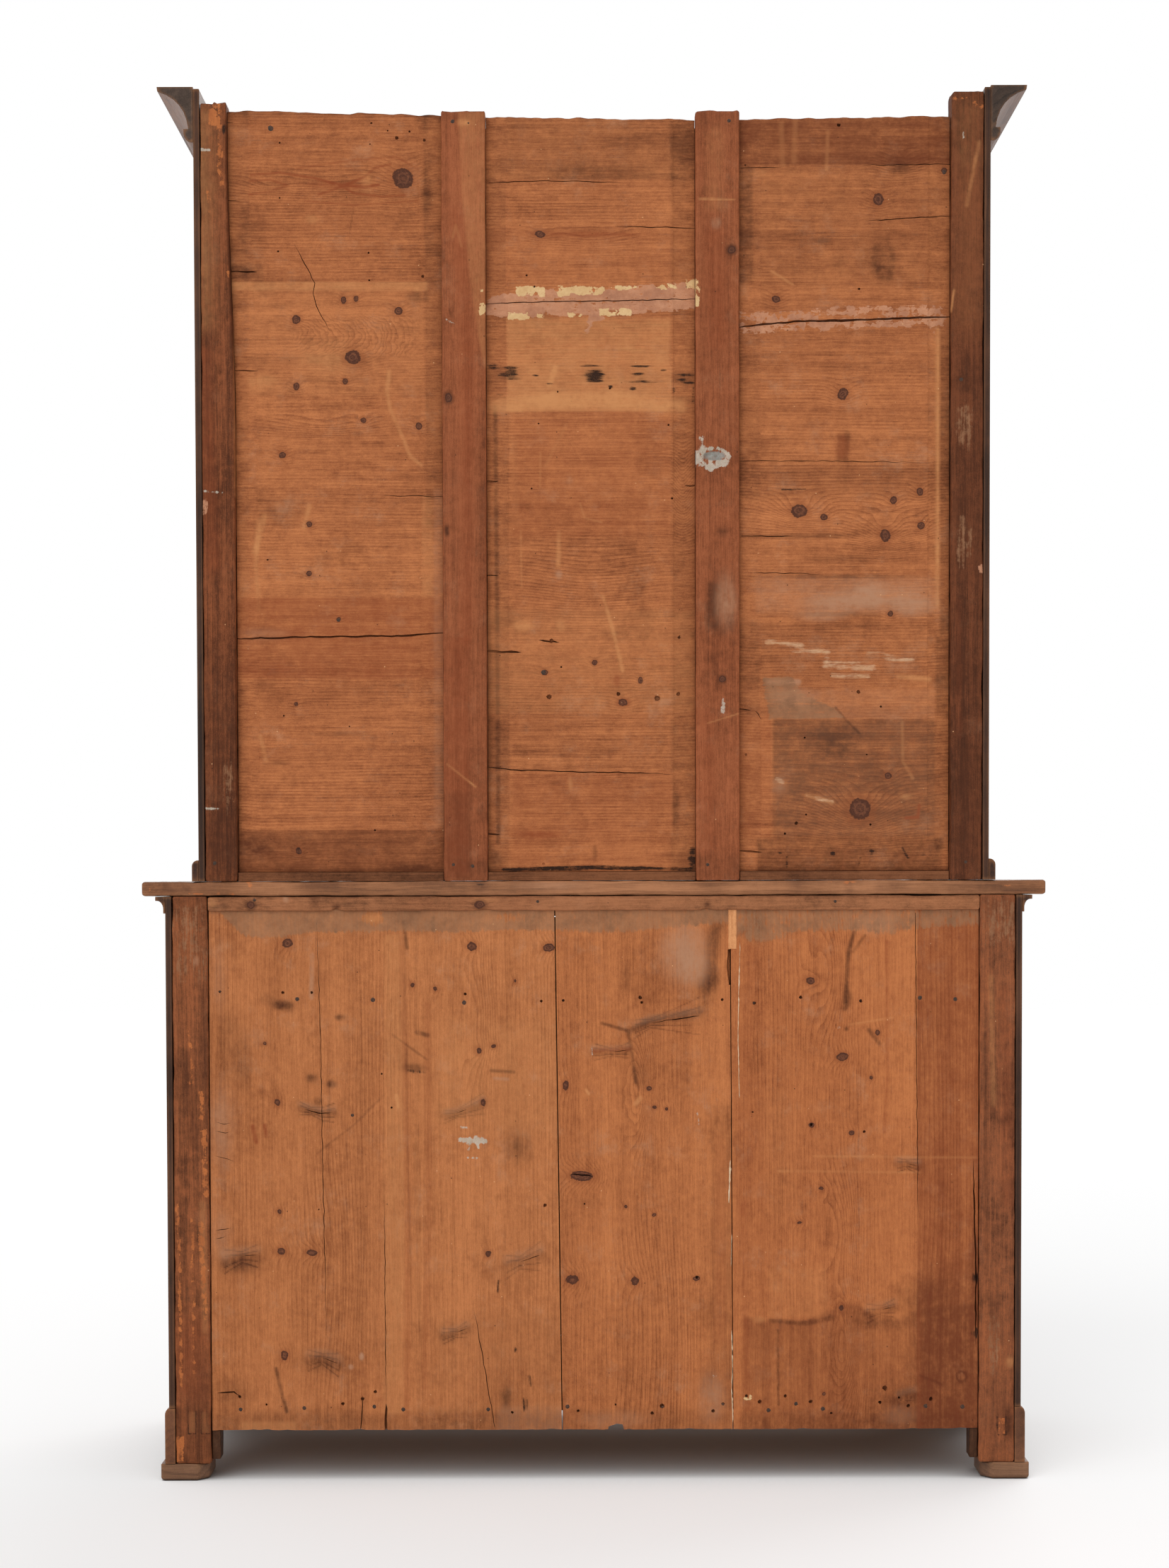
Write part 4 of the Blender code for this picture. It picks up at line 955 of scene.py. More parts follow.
panels["upper_back_panel_left"] = {
    "bay": (-0.5897, -0.2421), "topRows": (169, 166), "topWider": 0,
    "seams": [233, 400, 452, 525, 651, 752, 810, 868, 970, 1016, 1184],
    "knots": [(1241, 282, 8, 1), (1096, 423, 6, 1), (1191, 557, 8, 0.9), (1129, 722, 9, 1.2),
        (1165, 731, 5, 1), (1263, 707, 5, 1), (1299, 695, 6, 0.8), (1301, 743, 5, 1), (1251, 757, 9, 0.9),
        (1215, 1143, 15, 1), (1255, 1096, 5, 1), (1258, 867, 4, 1), (1335, 241, 4, 1)],
    "figures": [(1130, 720, 40, 22, 3), (1250, 745, 60, 30, 5), (1270, 230, 30, 24, 3),
        (1215, 1143, 80, 46, 4)],
    # the dark boxes along the sides are partly painted shade beside the muntin and post, partly the darker
    # bevelled margins
    "dark box": [(1040, 150, 1350, 233, 50, 4), (1040, 233, 1350, 400, 27, 14),
        (1040, 400, 1350, 445, 16, 3), (1040, 452, 1350, 651, 13, 14), (1040, 870, 1350, 1016, 17, 14),
        (1040, 651, 1350, 708, 27, 12), (1092, 1016, 1322, 1184, 47, 6), (1070, 1184, 1330, 1240, 48, 4),
        (1328, 470, 1350, 900, 34, 4), (1322, 900, 1350, 1200, 32, 4), (1040, 234, 1064, 400, 28, 5),
        (1040, 452, 1074, 1016, 14, 3), (1040, 1016, 1076, 1200, 26, 3)],
    "red box": [(1040, 165, 1350, 233, 30, 4), (1040, 1010, 1090, 1184, 30, 4)],
    "pale box": [(1074, 462, 1320, 525, 6, 5), (1040, 720, 1350, 810, 8, 8), (1040, 880, 1350, 970, 8, 8),
        (1321, 463, 1328, 860, 60, 4)],
    "lined box": [(1040, 652, 1350, 764, 90, 12)],
    "grey box": [(1066, 814, 1330, 868, 30, 16), (1092, 974, 1322, 1016, 22, 6),
        (1092, 1016, 1322, 1184, 16, 12)],
    "dirt poly": [(1076, 957, 44, -2, 12, 21, 48, 24, 14, 15, -108, 2, 9, 66)],
    "dark poly": [(1086, 1016, 108, -2, 13, 22, -3, 20, -14, 15, -40, -9, -40, 6, -22, -4, 5, 12)],
    "chalk stroke": [(1046, 448, 74, -2, 60, -6, 145, -2, 8, 60), (1052, 463, 98, -3, 180, -8, 9, 62)],
    "chalk blob": [(1322, 462, 10, 12, 54)],
    "dark blob": [(1272, 236, 16, 12, 45), (1247, 368, 22, 30, 36), (1164, 340, 12, 6, 30),
        (1186, 370, 10, 14, 25), (1180, 1050, 30, 22, 35), (1180, 815, 130, 4, 50), (1150, 758, 100, 5, 40),
        (1180, 868, 70, 4, 40), (1190, 790, 60, 7, 30)],
    "dark stroke": [(1236, 350, 2, 36, 6, 22), (1246, 378, 8, 13, 8, 34), (1261, 356, -1, 34, 5, 24),
        (1187, 618, -1, 30, 5, 34), (1197, 612, -2, 37, 5, 40), (1181, 1000, 15, 18, 18, 18, 2, 45)],
    "red blob": [(1190, 632, 13, 22, 50)], "pale blob": [(1073, 245, 12, 6, 35), (1280, 1126, 10, 5, 40)],
    "pale stroke": [(1090, 383, 30, 19, 2.5, 40), (1170, 185, -2, 55, 3.5, 35), (1104, 175, 2, 57, 5, 30),
        (1124, 170, -2, 58, 5, 30), (1270, 956, 43, 4, 4, 50), (1275, 1020, 1, 56, 14, 24, 3, 30),
        (1140, 1124, 36, 10, 4, 45)],
    "grey blob": [(1185, 850, 44, 14, 62), (1230, 842, 26, 18, 70), (1285, 852, 28, 20, 66),
        (1160, 872, 40, 8, 40), (1120, 985, 30, 16, 50), (1100, 1110, 12, 14, 30)],
    "scuff stroke": [(1085, 907, 47, 5, 5, 66), (1119, 916, 49, 6, 6, 70), (1229, 924, 59, 10, 5.5, 62),
        (1168, 938, 63, 5, 8, 74), (1177, 954, 49, 1, 4.5, 68), (1098, 1100, 8, 5, 4, 70),
        (1140, 1124, 36, 10, 3.5, 60)],
    "grey stroke": [(1086, 964, 42, 0, 5, 60)], "red stroke": [(1299, 1138, -2, 17, -17, 1, 2.6, 80)],
    "char stroke": [(1105, 692, 33, -1, 1.8, 55), (1274, 766, 26, 1, 1.8, 50), (1112, 1210, 0, 16, 2, 60),
        (1275, 1198, 8, 14, 2.4, 70), (1216, 1210, -2, 12, 2, 60)],
    "char blob": [(1102, 1206, 4, 3, 70), (1177, 1207, 4, 4, 75), (1232, 1204, 4, 6, 75),
        (1306, 1208, 6, 3, 60)],
    "cracks": [(1040, 460, 90, -8, 45, 0, 95, -4, 76, -3, 3.2, 1, 1), (1140, 453, 40, -3, 40, -1, 1.6, 0, 0),
        (1225, 310, 120, -8, 1.6, 0, 1), (1048, 234, 57, 0, 1.2, 1, 0), (1220, 231, 125, -2, 1.2, 0, 1),
        (1046, 650, 94, 0, 160, 2, 1.2, 1, 0), (1038, 1000, 24, 3, 4.5, 1, 0),
        (1067, 1003, 5, 5, 5, 9, 1.6, 0, 0), (1040, 1202, 38, 2, 4, 1, 0), (1048, 756, 72, 1, 1.6, 1, 0),
        (1060, 808, 100, 2, 1.2, 0, 0)],
    "holes": [(1186, 174, 3.2), (1214, 977, 3.6), (1226, 1066, 1.6), (1231, 1165, 2), (1126, 1163, 3),
        (1140, 1151, 1.8), (1110, 1178, 2.2), (1054, 230, 2.2), (1246, 998, 2), (1138, 1042, 1.8),
        (1055, 1066, 3), (1215, 406, 2.2)],
}


def panelDepth(x, z, span, marks, seed):
    # the raised field, its bevelled margins and the thickness of old filler
    shape = panelShape
    fall = shape["edgeDepth"] - shape["fieldDepth"] - shape["shoulder"]
    fromSide = np.minimum(x - span[0], span[1] - x) / shape["sideMargin"]
    fromFoot = (z - span[2]) / shape["footMargin"]
    bevel = np.clip(1 - np.minimum(fromSide, fromFoot), 0, 1)
    depth = shape["fieldDepth"] + np.where(bevel > 0, shape["shoulder"] + bevel * fall, 0.0)
    points = pointList(x, x * 0, z)
    ripple = ruffle(points * (0.5, 1, 1), 26.0, seed) * 0.0004 + ruffle(points, 5.0, seed) * 0.0005
    amounts = markAmounts(points + (0, backY, 0), marks)
    filler = amounts.get("chalk", np.zeros(len(points))) + amounts.get("cream", np.zeros(len(points)))
    return depth + (ripple - eased(filler * 1.6 - 0.3) * 0.0008).reshape(x.shape)


def buildPanel(node, look, seed):
    low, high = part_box(node)
    marks = listMarks(look)
    shape = panelShape
    face = shape["fieldDepth"]
    left, right = look["bay"][0] + shape["gap"], look["bay"][1] - shape["gap"]
    foot = low.z + shape["gap"]
    top = high.z
    margin = shape["sideMargin"]
    bevelFoot = foot + shape["footMargin"]
    edges = [left + margin, left + margin - 0.001, right - margin, right - margin + 0.001]
    seams = [heightOf(seam + side, face) for seam in look["seams"] for side in (-1, 1)]
    columns = gridLines(left, right, shape["step"], edges)
    rows = gridLines(foot, top, shape["step"], [*seams, bevelFoot, bevelFoot - 0.001])
    x, z = np.meshgrid(columns, rows)
    # the rough top edge, and the wider top beside the thin end of the outer post
    share = (x - left) / (right - left)
    edgePoints = pointList(columns, columns * 0, columns * 0)
    rough = ruffle(edgePoints, 55.0, seed) * 0.0022 + ruffle(edgePoints, 9.0, seed + 4) * 0.003
    ends = [heightOf(row, face) for row in look["topRows"]]
    lift = ends[1] + (ends[0] - ends[1]) * share[0] - top
    reach = shape["roughReach"]
    sink = np.clip((z - (top - reach)) / reach, 0, 1)
    z = z + sink * (rough + lift)[None, :]
    widen = thinning(z) * look["topWider"]
    x = x + share * widen
    depth = panelDepth(x - share * widen, z, (left, right, foot), marks, seed)
    vertices, faces = gridBoard(x, backY - depth, z, backY - shape["backDepth"])
    finish = woodFinish(node + "_pine", {
        **pineLook,
        "seed": seed,
        "painted": kindsOf(marks),
        "knots": look["knots"],
        "figures": look["figures"],
        "flames": look.get("flames", ()),
    })
    piece = addPiece(node + "_boards", vertices, faces, finish, "upper", [node])
    refine(piece, marks)
    cutBoard(piece, look, look["cracks"], shape, backY - face)
    paintMesh(piece, marks)
    smooth(piece)
    return piece


# The upright boards of the base back; foot and top are the ends of each board's lower and upper edge
backBoardShape = {
    "faceDepth": 0.0052, "backDepth": 0.0208, "step": 0.0062, "gap": 0.0005, "footReach": 0.02,
    "middleRow": 1650, "fineRows": (1290, 1300, 1312, 1320, 1328, 2000, 2012),  # in the photo
    "crackDepth": 0.007, "holeDepth": 0.006, "markDepth": 0.013,
}
backBoards = {}
backBoards["base_back_board_right"] = {
    "foot": (0.0548, 0.6396), "top": (0.0652, 0.6396), "pale": (196, 124, 76), "mid": (170, 104, 62),
    "dark": (126, 70, 39), "edges": [505, 540, 572],
    "knots": [(667, 1337, 7, 0.9, 0.75), (406, 1333, 8, 0.9, 0.75), (392, 1558, 5, 1.2, 0.7),
        (394, 1712, 4, 1, 0.6), (397, 1769, 7, 0.8, 0.7), (441, 1770, 8, 0.6, 0.7), (402, 1916, 6, 1.2, 0.7),
        (776, 1339, 8, 0.7, 0.9), (683, 1558, 4, 1.4, 0.6), (698, 1478, 4, 1, 0.5),
        (677, 1485, 5, 1.2, 0.45), (690, 1772, 5, 1.2, 0.5), (374, 1475, 3, 1, 0.6),
        (728, 1386, 3, 1.2, 0.4), (583, 1392, 4, 1.2, 0.4), (615, 1398, 4, 1, 0.4)],
    "scars": [(424, 1566, 16, 4, 16, 4, 16, -2, 6), (628, 1578, 17, -4, 15, -6, 24, -10, 6),
        (318, 1782, 24, -6, 22, -2, 9), (436, 1922, 19, -2, 23, 8, 9), (716, 1790, 19, -6, 29, -10, 10),
        (626, 1888, 18, -4, 16, -6, 7)],
    "figures": [(676, 1440, 90, 22, 4), (470, 1800, 140, 40, 3)],
    "dirt poly": [(300, 1280, 44, 43, 48, 3, 48, -8, 120, -2, 80, 2, 80, -4, 80, 3, 0, -47, -500, 0, 12,
         80)],
    "-dirt blob": [(526, 1297, 17, 11, 90), (720, 1296, 22, 8, 50)], "pale blob": [(526, 1297, 16, 10, 50)],
    # the first dark box is painted shade just under the rail
    "dark box": [(286, 1278, 800, 1292, 30, 10), (610, 1850, 795, 2030, 20, 50),
        (286, 1320, 505, 2030, 11, 8), (505, 1400, 538, 1930, 16, 5), (286, 1994, 800, 2030, 34, 22)],
    "dark blob": [(590, 1304, 26, 16, 50), (322, 1470, 16, 60, 32), (345, 1500, 12, 50, 28),
        (480, 1438, 8, 5, 55), (440, 1524, 9, 7, 50), (468, 1532, 8, 6, 50), (450, 1556, 6, 6, 50),
        (400, 1420, 14, 7, 50), (585, 1510, 22, 7, 50), (572, 1495, 14, 14, 30), (730, 1610, 30, 30, 28),
        (736, 1630, 20, 24, 30), (342, 1790, 24, 12, 35), (455, 1925, 22, 14, 30), (330, 1970, 28, 22, 30),
        (716, 1975, 8, 18, 45)],
    "dark stroke": [(612, 1296, 0, 18, 3, 60), (374, 1412, 21, 8, 15, 4, 8, 30), (590, 1459, 14, 4, 4, 60),
        (694, 1513, 32, 2, 3, 60), (588, 1330, 2, 270, 2, 410, 5, 20), (572, 1325, 3, 275, 8, 300, 2, 30),
        (570, 1304, 6, 36, 3, 50), (542, 1548, -42, 42, -52, 40, 2, 30), (554, 1462, 50, 36, 2, 40),
        (390, 1934, 6, 26, 9, 35, 3, 50)],
    "pale box": [(545, 1320, 800, 2000, 12, 6), (612, 1440, 790, 1600, 16, 40),
        (540, 1320, 572, 2000, 20, 4), (340, 2008, 420, 2024, 35, 8)],
    "grey blob": [(314, 1590, 22, 70, 40), (312, 1745, 18, 40, 34), (310, 1380, 12, 60, 30),
        (496, 1932, 4, 4, 80), (511, 1917, 4, 6, 80)],
    "char stroke": [(578, 1513, 24, 3, 2.6, 50), (748, 1945, 2, 13, 2.6, 60), (705, 1810, -1, 16, 2.4, 60)],
    "grey stroke": [(698, 1524, 20, 1, 3, 50), (441, 1350, -1, 60, 4, 50)],
    "red stroke": [(568, 1325, 4, 175, 5, 200, -3, 300, 6, 30), (604, 1420, 2, 280, -6, 260, 6, 28),
        (357, 1592, 5, 22, 4, 60), (374, 1590, 2, 16, 3, 60)],
    "white stroke": [(650, 1611, 34, 2, 5, 60), (664, 1608, -2, 16, 3, 50), (672, 1606, 4, 16, 3, 60),
        (650, 1592, 10, 2, 2.5, 55), (660, 1636, 14, 1, 2.5, 60)],
    "white blob": [(678, 1610, 8, 7, 60)], "pale stroke": [(560, 1548, 2, 16, 2.5, 50)],
    "char blob": [(741, 1985, 5, 14, 75), (729, 1908, 2.6, 5, 65)],
    "grey box": [(700, 1985, 800, 2030, 30, 18)],
    "cracks": [(447, 1304, 5, 146, 3, 170, 6, 270, 1.1, 0, 0), (543, 1700, 1, 150, 1, 135, 1, 0, 0),
        (545, 1985, 0, 43, 4.5, 0, 1), (512, 1973, -1, 27, -2, 26, 1.6, 0, 1),
        (430, 1568, 20, 6, 18, -1, 1.3, 0, 0), (304, 1586, 12, 3, 10, -2, 0.9, 0, 0),
        (303, 1599, 15, 3, 6, -2, 0.9, 0, 0), (302, 1634, 12, 3, 16, 5, 1.1, 0, 0),
        (304, 1740, 22, -4, 1.2, 0, 0), (303, 1752, 15, -4, 1, 0, 0), (306, 1970, 24, -2, 8, 6, 2.2, 0, 0),
        (670, 1853, 14, 77, 15, 88, 1.2, 0, 1)],
    "holes": [(310, 1402, 2.4), (399, 1403, 2.6), (440, 1403, 2.4), (657, 1405, 2.8), (765, 1415, 2.6),
        (376, 1986, 1.8), (512, 1978, 3.4), (484, 1985, 3), (530, 1968, 3), (338, 1975, 3), (770, 1704, 3),
        (724, 1997, 2.6), (553, 1566, 1.8), (539, 1518, 1.6), (450, 1710, 1.4), (527, 1412, 1.6),
        (420, 1411, 1.6)],
}
backBoards["base_back_board_middle"] = {
    "foot": (-0.2306, 0.054), "top": (-0.2262, 0.0644), "pale": (196, 122, 73), "mid": (171, 103, 61),
    "dark": (124, 68, 37), "edges": [1003],
    "knots": [(822, 1662, 15, 0.45, 0.95), (917, 1538, 4, 1, 0.6), (925, 1565, 4, 0.8, 0.5),
        (897, 1811, 7, 1.1, 0.6), (984, 1807, 5, 0.7, 0.8), (809, 1808, 11, 0.7, 0.6),
        (884, 1705, 3, 1, 0.6), (924, 1717, 3, 1, 0.6), (800, 1534, 5, 1.4, 0.7), (942, 1568, 3, 1, 0.6)],
    "scars": [(896, 1454, 24, -8, 30, -5, 40, -7, 7), (840, 1486, 26, 1, 22, -3, 6)],
    "figures": [(903, 1545, 80, 18, 8), (920, 1900, 160, 50, 3)],
    "dirt poly": [(776, 1270, 0, 44, 54, 4, 70, -1, 60, -7, 80, -6, 0, -34, 14, 70)],
    "grey blob": [(966, 1346, 36, 48, 62), (984, 1368, 18, 26, 50), (1005, 1975, 22, 40, 45),
        (870, 2005, 60, 14, 35)],
    # the first dark box is painted shade just under the rail
    "dark box": [(776, 1278, 1040, 1292, 30, 10), (1003, 1560, 1040, 1990, 26, 6),
        (776, 1990, 1040, 2030, 30, 20)],
    "dark stroke": [(1020, 1292, -10, 30, -6, 30, 2, 33, 13, 55), (850, 1446, 38, 11, 5, 33, 5, 40, 3, 50),
        (893, 1455, 27, -15, 70, -12, 5, 40)],
    "dark blob": [(996, 1395, 18, 30, 50), (885, 1380, 10, 24, 35), (905, 1520, 12, 24, 30),
        (998, 1955, 10, 30, 35), (830, 1700, 30, 10, 20), (880, 1960, 50, 30, 12)],
    "red stroke": [(838, 1485, 52, -3, 4, 50)],
    "pale stroke": [(898, 1560, 7, -8, 4, 60), (828, 1540, 4, 6, 2.5, 60)],
    "white stroke": [(836, 1480, 2, 14, 2.2, 50), (985, 1572, 3, 18, 2, 50)],
    "red box": [(1008, 1600, 1026, 1900, 28, 5)],
    "white blob": [(1009, 1945, 5, 4, 45), (986, 1733, 4, 4, 45), (906, 1921, 4, 3, 40),
        (781, 1996, 4, 3, 55)],
    "cracks": [(806, 1660, 32, 3, 2.2, 0, 0), (946, 1442, 42, -6, 2, 0, 0),
        (1032, 1342, -1, 24, 2, 26, 8, 1, 1)],
    "holes": [(796, 1414, 2.4), (905, 1410, 3.4), (907, 1417, 2.6), (1021, 1413, 2.6), (936, 1988, 4.6),
        (1008, 1995, 3.2), (1022, 1985, 2.8), (922, 1998, 3), (817, 1995, 2.6), (870, 1986, 1.8),
        (826, 1702, 1.6), (985, 1806, 2.6)],
    "notch": (858, 2030, 2, -14, 12, -4, 8, 1, 4, 17),
}
backBoards["base_back_board_left"] = {
    "foot": (-0.6396, -0.2311), "top": (-0.6396, -0.2267), "pale": (192, 118, 70), "mid": (168, 99, 58),
    "dark": (120, 64, 35), "edges": [1072, 1296],
    "knots": [(1145, 1386, 6, 0.9, 0.8), (1190, 1493, 8, 0.7, 0.95), (1147, 1590, 4, 1, 0.8),
        (1204, 1602, 4, 1, 0.8), (1189, 1848, 5, 1.2, 0.5), (1240, 1460, 4, 1.2, 0.6),
        (1164, 1970, 3, 1, 0.7), (1130, 1728, 5, 0.6, 0.4), (1160, 1680, 5, 0.8, 0.4),
        (1230, 1523, 3, 1, 0.6)],
    "scars": [(1268, 1646, 14, -1, 16, 3, 7), (1226, 1856, 20, -4, 18, -4, 8),
        (1270, 1976, 10, -3, 12, -3, 7)],
    "figures": [(1172, 1370, 90, 26, 6), (1194, 1905, 80, 22, 10), (1185, 1740, 80, 26, 5),
        (1330, 1600, 300, 30, 2)],
    "dirt poly": [(1030, 1270, 0, 56, 50, 8, 50, -16, 70, -2, 60, 6, 40, -10, 100, -4, 0, -38, 14, 60)],
    # the first dark box is painted shade just under the rail
    "dark box": [(1030, 1278, 1400, 1292, 30, 10), (1296, 1278, 1400, 2030, 27, 3),
        (1290, 1790, 1400, 2030, 26, 60), (1030, 1996, 1400, 2030, 24, 18)],
    "dark blob": [(1066, 1310, 22, 22, 55), (1198, 1410, 7, 16, 50), (1196, 1454, 4, 4, 60),
        (1300, 1830, 50, 24, 30), (1245, 1870, 40, 10, 35), (1262, 1990, 36, 34, 35),
        (1378, 1790, 8, 60, 40), (1278, 1968, 12, 6, 50)],
    "grey blob": [(1235, 1304, 40, 16, 50), (1270, 2000, 30, 16, 30)],
    "red box": [(1040, 1330, 1064, 1720, 20, 10), (1296, 1278, 1400, 2030, 36, 3)],
    "red stroke": [(1068, 1340, 12, 140, -10, 160, 12, 190, 10, 18), (1253, 1330, 1, 190, -4, 80, 3, 45),
        (1050, 1700, 6, 290, 5, 25)],
    "pale stroke": [(1098, 1560, 12, 140, 30, 14), (1200, 1448, 62, -10, 1.8, 40),
        (1150, 1634, 230, 2, 2.2, 35), (1100, 1655, 200, 2, 2.2, 30)],
    "dark stroke": [(1207, 1318, -8, 27, -3, 39, -2, 41, 4, 55), (1222, 1322, -16, 23, 3, 45),
        (1228, 1456, 14, 18, 4, 50), (1090, 1866, 50, 4, 35, -8, 4, 40), (1099, 1880, 1, 105, 2, 50),
        (1366, 1946, -3, 6, -6, 1, -5, -5, 1, -7, 5, -3, 6, 2, 2, 6, 1.8, 75), (1300, 1944, 30, 12, 2, 40)],
    "white blob": [(1187, 1452, 5, 5, 65)], "pale box": [(1085, 1790, 1170, 1862, 20, 8)],
    "dark poly": [(1050, 1858, 40, 8, 42, 2, 48, -22, 20, -6, 62, 28, 38, -18, 100, -10, 0, 200, -350, 0, 9,
         32)],
    "red poly": [(1050, 1858, 40, 8, 42, 2, 48, -22, 20, -6, 62, 28, 38, -18, 0, 190, -250, 0, 9, 22)],
    "pale blob": [(1072, 1865, 10, 6, 40)], "char blob": [(1380, 1806, 7, 9, 75), (1378, 1884, 7, 8, 75)],
    "cream blob": [(1054, 1976, 4, 3, 80), (1060, 1974, 3, 5, 70)],
    "cracks": [(1294, 1290, 2, 210, 2, 240, 1, 1, 0), (1376, 1640, 4, 160, -1, 100, 2.4, 0, 0),
        (1184, 1493, 13, 1, 1.6, 0, 0)],
    "holes": [(1066, 1418, 3), (1132, 1410, 3), (1217, 1415, 3), (1055, 1974, 3), (1074, 1982, 3.6),
        (1110, 1974, 3), (1146, 1982, 3.4), (1251, 1963, 4.4), (1244, 1983, 3), (1284, 1988, 3),
        (1316, 1978, 3.4), (1271, 1976, 2.2), (1175, 1998, 2.2), (1147, 1590, 2.6), (1064, 1572, 1.6),
        (1222, 1600, 2.4)],
}


def scarMarks(scar):  # where a branch came out
    *numbers, width = scar
    line = lineOf(numbers)
    (a, b), (c, d) = line[1:3]
    middle = (a, b, c - a, d - b)
    marks = [
        ("dark", "stroke", line, width * 2.2, 20),
        ("dark", "stroke", line, width * 0.8, 24),
        ("grey", "stroke", [(a, b - width) for a, b in line], width * 0.9, 30),
    ]
    for shift in (-0.8, -0.35, 0.45, 0.9):  # the grain sweeping past it
        bowed = [(a, b + shift * width * (1 + 0.05 * abs(a - line[1][0]))) for a, b in line]
        marks.append(("dark", "stroke", bowed, 1.0, 42))
    return marks, (*middle, 0.9, False, False)  # with a crack in its middle


def buildBackBoard(node, look, seed):
    shape = backBoardShape
    low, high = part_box(node)
    marks = listMarks(look)
    cracks = list(look["cracks"])
    for scar in look["scars"]:
        lines, crack = scarMarks(scar)
        marks += lines
        cracks.append(crack)
    face = shape["faceDepth"]
    glued = [column + side for column in look["edges"] for side in (-1.2, 1.2)]
    glued = [spot(column, shape["middleRow"], face)[0] for column in glued]
    middleLow = (look["foot"][0] + look["top"][0]) / 2
    middleHigh = (look["foot"][1] + look["top"][1]) / 2
    columns = gridLines(middleLow, middleHigh, shape["step"], glued)
    fine = [heightOf(row, face) for row in shape["fineRows"]]
    rows = gridLines(low.z, high.z, shape["step"], fine)
    share = (columns - middleLow) / (middleHigh - middleLow)
    z = np.meshgrid(columns, rows)[1]
    rise = (z - low.z) / (high.z - low.z)
    leftEdge = look["foot"][0] + (look["top"][0] - look["foot"][0]) * rise + shape["gap"]
    rightEdge = look["foot"][1] + (look["top"][1] - look["foot"][1]) * rise - shape["gap"]
    x = leftEdge + share[None, :] * (rightEdge - leftEdge)
    # sawn and chipped lower edge
    edgePoints = pointList(columns, columns * 0, columns * 0)
    chips = np.clip(ruffle(edgePoints, 60.0, seed), 0, 1) * 0.0028
    chips = chips + np.clip(ruffle(edgePoints, 8.0, seed), -0.3, 1) * 0.0022
    lift = np.clip(1 - (z - low.z) / shape["footReach"], 0, 1)
    z = z + lift * np.abs(chips)[None, :]
    points = pointList(x, z * 0, z)
    ripple = ruffle(points * (1, 1, 0.4), 24.0, seed) * 0.0004 + ruffle(points, 3.0, seed) * 0.0006
    amounts = markAmounts(points + (0, backY, 0), marks)
    worn = amounts.get("char", np.zeros(len(points))) * 0.001
    y = backY - face - np.abs(ripple + worn).reshape(x.shape)
    vertices, faces = gridBoard(x, y, z, backY - shape["backDepth"])
    finish = woodFinish(node + "_pine", {
        **pineLook,
        "along": "Z",
        "seed": seed,
        "depth": face,
        "painted": kindsOf(marks),
        "rings": 150.0,
        "drift": 4.6,
        **{key: look[key] for key in ("pale", "mid", "dark", "knots", "figures")},
    })
    piece = addPiece(node + "_plank", vertices, faces, finish, "base", [node])
    refine(piece, marks)
    cutBoard(piece, look, cracks, shape, backY - face)
    paintMesh(piece, marks, shape["markDepth"])
    smooth(piece)
    return piece


# Posts, muntins and rails of the back: bars with rubbed edges
postLook = {
    **pineLook, "along": "Z", "pale": (141, 80, 48), "mid": (99, 54, 31), "haze": 0.14,
    "dark": (52, 28, 17), "rings": 130.0, "ringShow": 0.3, "streak": 1.1, "blotch": 0.8,
    "knotHalo": (70, 38, 24), "grime": 0.65, "depth": 0.0, "rough": 0.6,
}
muntinLook = {
    **postLook, "pale": (165, 95, 60), "mid": (136, 75, 45), "dark": (84, 43, 25), "haze": 0.24,
    "ringShow": 0.2, "streak": 0.8, "blotch": 0.5,
}
railLook = {
    **postLook, "along": "X", "pale": (166, 108, 72), "mid": (135, 86, 56), "dark": (68, 42, 28),
    "blotch": 1.3,
}
barShape = {  # unless a bar says otherwise
    "axis": 2, "radius": 0.0035, "wear": 0.0022, "step": 0.0075, "knots": (),
    "raggedTop": 0.0, "raggedReach": 0.03, "narrowTop": 0.0, "waney": 0.0, "notches": (), "notchRow": 1280,
}
backBars = {}
backBars["upper_post_back_right"] = {
    "look": postLook, "narrowTop": 0.0105, "raggedTop": 0.01, "pale box": [(272, 150, 308, 470, 30, 40)],
    "dark stroke": [(322, 172, 0, 88, 4, 140, 3, 120, 4, 55), (292, 200, 4, 220, -4, 220, 4, 40)],
    "worn stroke": [(309, 150, 1, 50, 3, 58, 6, 58), (303, 152, -3, 20, 9, 55), (294, 270, 2, 30, 4, 50),
        (278, 200, 3, 130, 2.6, 42), (322, 384, 0, 8, 3, 60)],
    "red stroke": [(288, 500, 12, 300, 14, 35)],
    "white stroke": [(278, 211, 18, 1, 2.6, 78), (284, 694, 30, 2, 2.4, 68), (284, 1142, 24, 1, 2.4, 66)],
    "chalk blob": [(287, 715, 7, 14, 62)],
    "dark box": [(270, 900, 340, 1240, 34, 90), (270, 1150, 340, 1240, 30, 40)],
    "dirt blob": [(322, 1110, 9, 50, 50)], "pale stroke": [(331, 380, 2, 320, 2.5, 40)],
    "char blob": [(317, 182, 4, 8, 90)],
}
